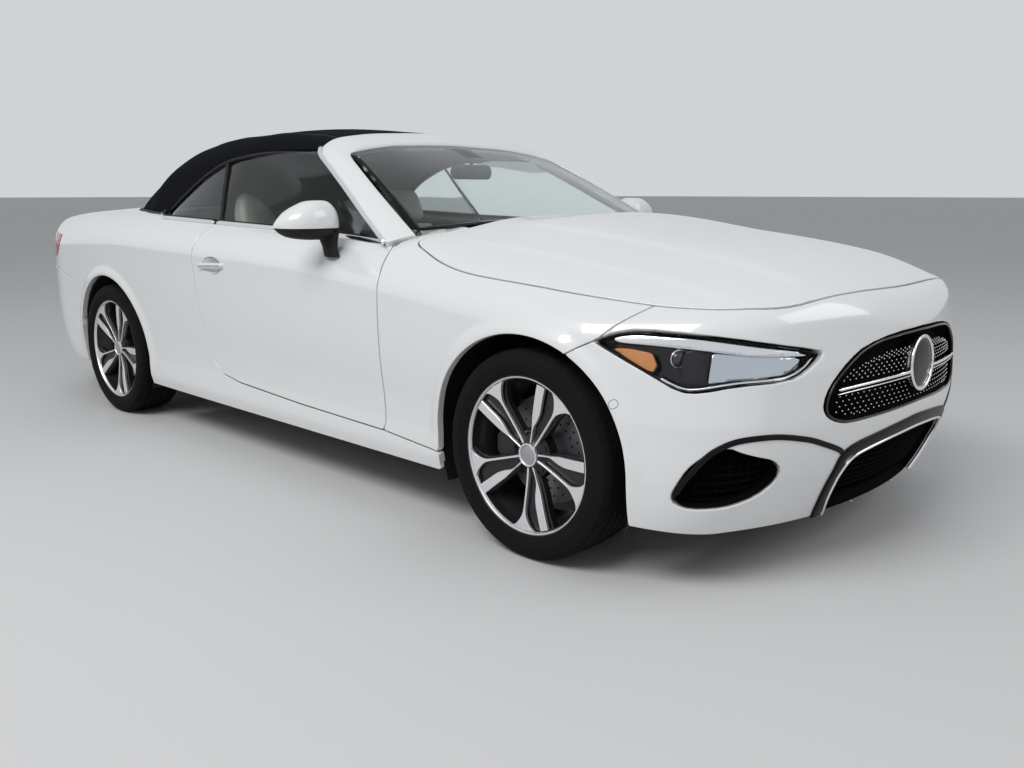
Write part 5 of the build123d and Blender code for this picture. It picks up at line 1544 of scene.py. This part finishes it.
def bench_front(y, z):
    rise = 0.020 * crown_over(y, BENCH_MIDDLE, BENCH_HALF) - bench_grooves(y)
    return rise - on_bench(y) * row_of_grooves(z, (0.52, 0.59, 0.66, 0.73, 0.80))


rear_base = pad_form(-1.115, -0.645, 0.586, 0.292, 0.412, 0.036, top=bench_top)
rear_back = pad_form(-1.128, -1.052, 0.586, 0.405, 0.925, 0.036, front=bench_front,
                     taper=lambda x, z: 0.03 * step(z, 0.80, 0.93))
rear_head = pad_form(-1.112, -1.050, 0.118, 0.905, 1.037, 0.028, pinch=0.003, taper=lambda x,
    z: 0.014 * step(z, 0.98, 1.04))
soft("rear_cushion", rear_base, (-1.15, 0.26), (-0.61, 0.63, 0.48), tilt(0, 0, 0, 0), *SEAT_PART, h=0.013,
    node="rear_seat")
soft("rear_backrest", rear_back, (-1.16, 0.37), (-1.0, 0.63, 0.96), tilt(0, -1.08, 0.42, REAR_BACK_LEAN),
    *SEAT_PART, h=0.013)
for side, y0 in (("left", REAR_HEAD_Y), ("right", -REAR_HEAD_Y)):
    soft(f"rear_head_{side}", rear_head, (-1.14, 0.875), (-1.02, 0.15, 1.06), tilt(y0, -1.08, 0.42,
        REAR_BACK_LEAN), *SEAT_PART, h=0.011)
make("rear_shelf", *plate(((-1.16, 0.63), (-1.16, -0.63), (-1.25, -0.63), (-1.25, 0.63)), 0.895, 0.918,
    in_plane, 0.004), CARPET, "body", "dash_plastic", sharp=40)

# ---- dashboard and console ----
DASH_SIDE = smooth(((0.865, 0.905), (0.760, 0.925), (0.655, 0.915), (0.585, 0.885), (0.560, 0.840),
    (0.575, 0.790), (0.610, 0.720), (0.625, 0.600), (0.650, 0.510), (0.865, 0.510)), 2)
rings = [[(x, y, z) for x, z in DASH_SIDE] for y in np.linspace(-0.738, 0.738, 9)]
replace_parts(make("dash_body", *rows_mesh(rings), *DASH_PART, sharp=50), "dashboard")
make("dash_trim", *sweep([(0.562, y, 0.842) for y in np.linspace(-DASH_Y, DASH_Y, 12)],
    rounded(0.012, 0.060), (0.25, 0, 1)), *SEAT_PART, sharp=50)
make("dash_line", *sweep([(0.555, y, 0.806) for y in np.linspace(-DASH_Y, DASH_Y, 12)],
    rounded(0.006, 0.006), (0.25, 0, 1)), SILVER, "body", "steel")
SCREEN = material("screen_black", (0.004, 0.004, 0.006), 0.0, 0.08, 0.6, vary=0.02)
facing = lambda x, z, lean: (lambda u, v, h: np.stack((x + v * math.sin(lean) - h * math.cos(lean), u,
    z + v * math.cos(lean) + h * math.sin(lean)), -1))
make("centre_screen", *plate(rounded(0.20, 0.26, 0.012), -0.004, 0.010, facing(0.548, 0.775, 0.35),
    0.002), SCREEN, "body", "grille_black", sharp=40)
make("driver_screen", *plate(np.array(rounded(0.31, 0.12, 0.012)) + (0.37, 0), -0.004, 0.010,
    facing(0.580, 0.935, 0.15), 0.002), SCREEN, "body", "grille_black", sharp=40)
vents = []
for y in (0.66, 0.17, -0.17, -0.66):
    vents += [hoop((0.552, y, 0.868), 0.034, (-1, 0, 0.25), rounded(0.007, 0.014)),
        lens_ball((0.560, y, 0.868), 0.012, (-1, 0, 0.25), 0.5)]
make("vents", *merge(*vents), SILVER, "body", "steel", sharp=50)
CONSOLE = smooth(((0.650, 0.60), (0.55, 0.560), (0.40, 0.520), (0.10, 0.512), (-0.10, 0.516),
    (-0.245, 0.512), (-0.248, 0.245), (0.650, 0.245)), 2)
make("console", *plate(CONSOLE, -0.088, 0.088, on_side, 0.010), *DASH_PART, sharp=50)
make("console_top", *plate(rounded(0.36, 0.13, 0.02), 0.0, 0.006, lambda u, v,
    h: np.stack((u + 0.27, v, 0.517 + h), -1), 0.002), *GLOSSY, sharp=40)
armrest = pad_form(-0.235, 0.045, 0.080, 0.500, 0.545, 0.020, pinch=0.002)
soft("console_armrest", armrest, (-0.26, 0.47), (0.08, 0.10, 0.57), tilt(0, 0, 0, 0), *SEAT_PART, h=0.009)

# ---- steering wheel ----
WHEEL_AT = np.array((0.405, 0.370, 0.790))
AXIS = np.array((-0.9063, 0.0, 0.4226))
WHEEL_UP = np.array((0.4226, 0.0, 0.9063))


def on_wheel(u, v, h):
    """u up the wheel, v to the left, h along its axis towards the driver."""
    out = WHEEL_AT
    for distance, way in ((u, WHEEL_UP), (v, (0, 1, 0)), (h, AXIS)):
        out = out + np.multiply.outer(np.asarray(distance, float), way)
    return out


t = full_circle(96)
radius = 0.175 - 0.012 * np.clip(-np.cos(t), 0, 1) ** 6
rim_path = on_wheel(radius * np.cos(t), radius * np.sin(t), 0 * t)
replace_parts(make("wheel_rim", *sweep(rim_path, rounded(0.025, 0.029, 0.0122, 4), AXIS, loop=True),
    *WHEEL_DASH), "steering_wheel")
hub_face = [(0.050 * math.cos(a) * (1 + 0.12 * math.cos(a) ** 2), 0.060 * math.sin(a)) for a
    in full_circle(40)]
make("wheel_hub", *plate(hub_face, -0.020, 0.020, on_wheel, 0.010), *WHEEL_DASH, sharp=60)
for k, a in enumerate((90, 180, 270)):
    c, s = math.cos(math.radians(a)), math.sin(math.radians(a))
    spoke_line = on_wheel(np.linspace(0.05, 0.168, 8) * c, np.linspace(0.05, 0.168, 8) * s,
        np.linspace(0.004, 0, 8))
    make(f"wheel_spoke_{k}", *sweep(spoke_line, rounded(0.034 if a != 180 else 0.028, 0.012), AXIS),
        GLOSS if a != 180 else SILVER, "steering", "dash_plastic", sharp=50)
make("steering_column", *sweep(on_wheel(np.zeros(5), np.zeros(5), np.linspace(-0.018, -0.110, 5)),
    rounded(0.046, 0.046, n=6), (0, 1, 0)), *WHEEL_DASH, sharp=50)

# ---- inside mirror on the windscreen ----
make("sensor_pod", *sweep(np.array([screen_point(0.0, v, -0.018) for v in np.linspace(0.95, 0.80, 6)]),
    rounded(0.11, 0.028, 0.012), (0.4, 0, 0.9)), *TRIM, sharp=60)
glass_at = screen_point(0.0, 0.80, -0.075)
inside_face = lambda u, v, h: np.stack((glass_at[0] - h, u, glass_at[2] + v), -1)
make("inside_mirror", *plate(rounded(0.235, 0.062, 0.028, 5), -0.016, 0.004, inside_face, 0.005), *TRIM,
    sharp=60)
make("inside_mirror_glass", *plate(rounded(0.222, 0.050, 0.023, 5), 0.003, 0.0055, inside_face, 0.001),
    SILVERED, "body", "steel", sharp=40)
make("inside_mirror_arm", *sweep([screen_point(0.0, 0.82, -0.02), screen_point(0.0, 0.81, -0.05),
    glass_at + (0.012, 0, 0)], rounded(0.016, 0.016), (0, 1, 0)), *TRIM)

# ---- looks of the CAD pieces that stay ----
for mat, names in ((IRON, ("engine", "rear_suspension", "knuckle_left", "knuckle_right")),
        (STEEL, ("exhaust",)), (DARK, ("front_subframe", "boot_tub")), (BLACK, ("bulkhead",))):
    for name in names:
        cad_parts[name].data.materials.clear()
        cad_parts[name].data.materials.append(mat)

# ---- stage, light and camera ----
bpy.ops.mesh.primitive_plane_add(size=400, location=(0, 0, 0))
floor = bpy.context.object
floor.name = "floor"
floor.data.materials.append(material("pale_floor", (0.62, 0.62, 0.62), 0.0, 0.8, vary=0.02))
world = bpy.data.worlds.new("studio")
bpy.context.scene.world = world
world.use_nodes = True
# The sky lights the car less than it shows to the camera, in reflections and through glass.
SKY_LIGHT, SKY_SEEN = 0.42, 0.72
nodes, link = world.node_tree.nodes, world.node_tree.links.new
sky = nodes["Background"].inputs
sky["Color"].default_value = (0.88, 0.90, 0.93, 1)
ray, backdrop = nodes.new("ShaderNodeLightPath").outputs, nodes.new("ShaderNodeMapRange")
first, second = nodes.new("ShaderNodeMath"), nodes.new("ShaderNodeMath")
first.operation = second.operation = "MAXIMUM"
link(ray["Is Camera Ray"], first.inputs[0])
link(ray["Is Glossy Ray"], first.inputs[1])
link(first.outputs[0], second.inputs[0])
link(ray["Is Transmission Ray"], second.inputs[1])
backdrop.inputs["To Min"].default_value, backdrop.inputs["To Max"].default_value = SKY_LIGHT, SKY_SEEN
link(second.outputs[0], backdrop.inputs["Value"])
link(backdrop.outputs["Result"], sky["Strength"])


def area_light(name, place, target, size, power):
    light = bpy.data.lights.new(name, "AREA")
    light.shape, light.size, light.size_y, light.energy = "RECTANGLE", size[0], size[1], power
    obj = bpy.data.objects.new(name, light)
    bpy.context.collection.objects.link(obj)
    obj.location = place
    obj.rotation_euler = (Vector(target) - Vector(place)).to_track_quat("-Z", "Y").to_euler()


area_light("key", (1.5, -6.0, 6.5), (0, 0, 0.5), (6.0, 3.0), 420)
area_light("fill", (7.5, 3.0, 5.0), (0.5, 0, 0.5), (5.0, 4.0), 130)

# Solved from both visible wheels and the ground; angles in radians.
CAMERA_AT, YAW, PITCH = (3.4649, -2.9035, 1.1102), 2.3393, -0.2014
SENSOR_MM, LENS_MM = 36.0, 33.09
camera_data = bpy.data.cameras.new("camera")
camera_data.sensor_width, camera_data.lens = SENSOR_MM, LENS_MM
camera = bpy.data.objects.new("camera", camera_data)
bpy.context.collection.objects.link(camera)
ahead = math.cos(PITCH)
forward = Vector((ahead * math.cos(YAW), ahead * math.sin(YAW), math.sin(PITCH)))
camera.location = CAMERA_AT
camera.rotation_euler = forward.to_track_quat("-Z", "Y").to_euler()
bpy.context.scene.camera = camera
bpy.context.scene.view_settings.view_transform = "Standard"
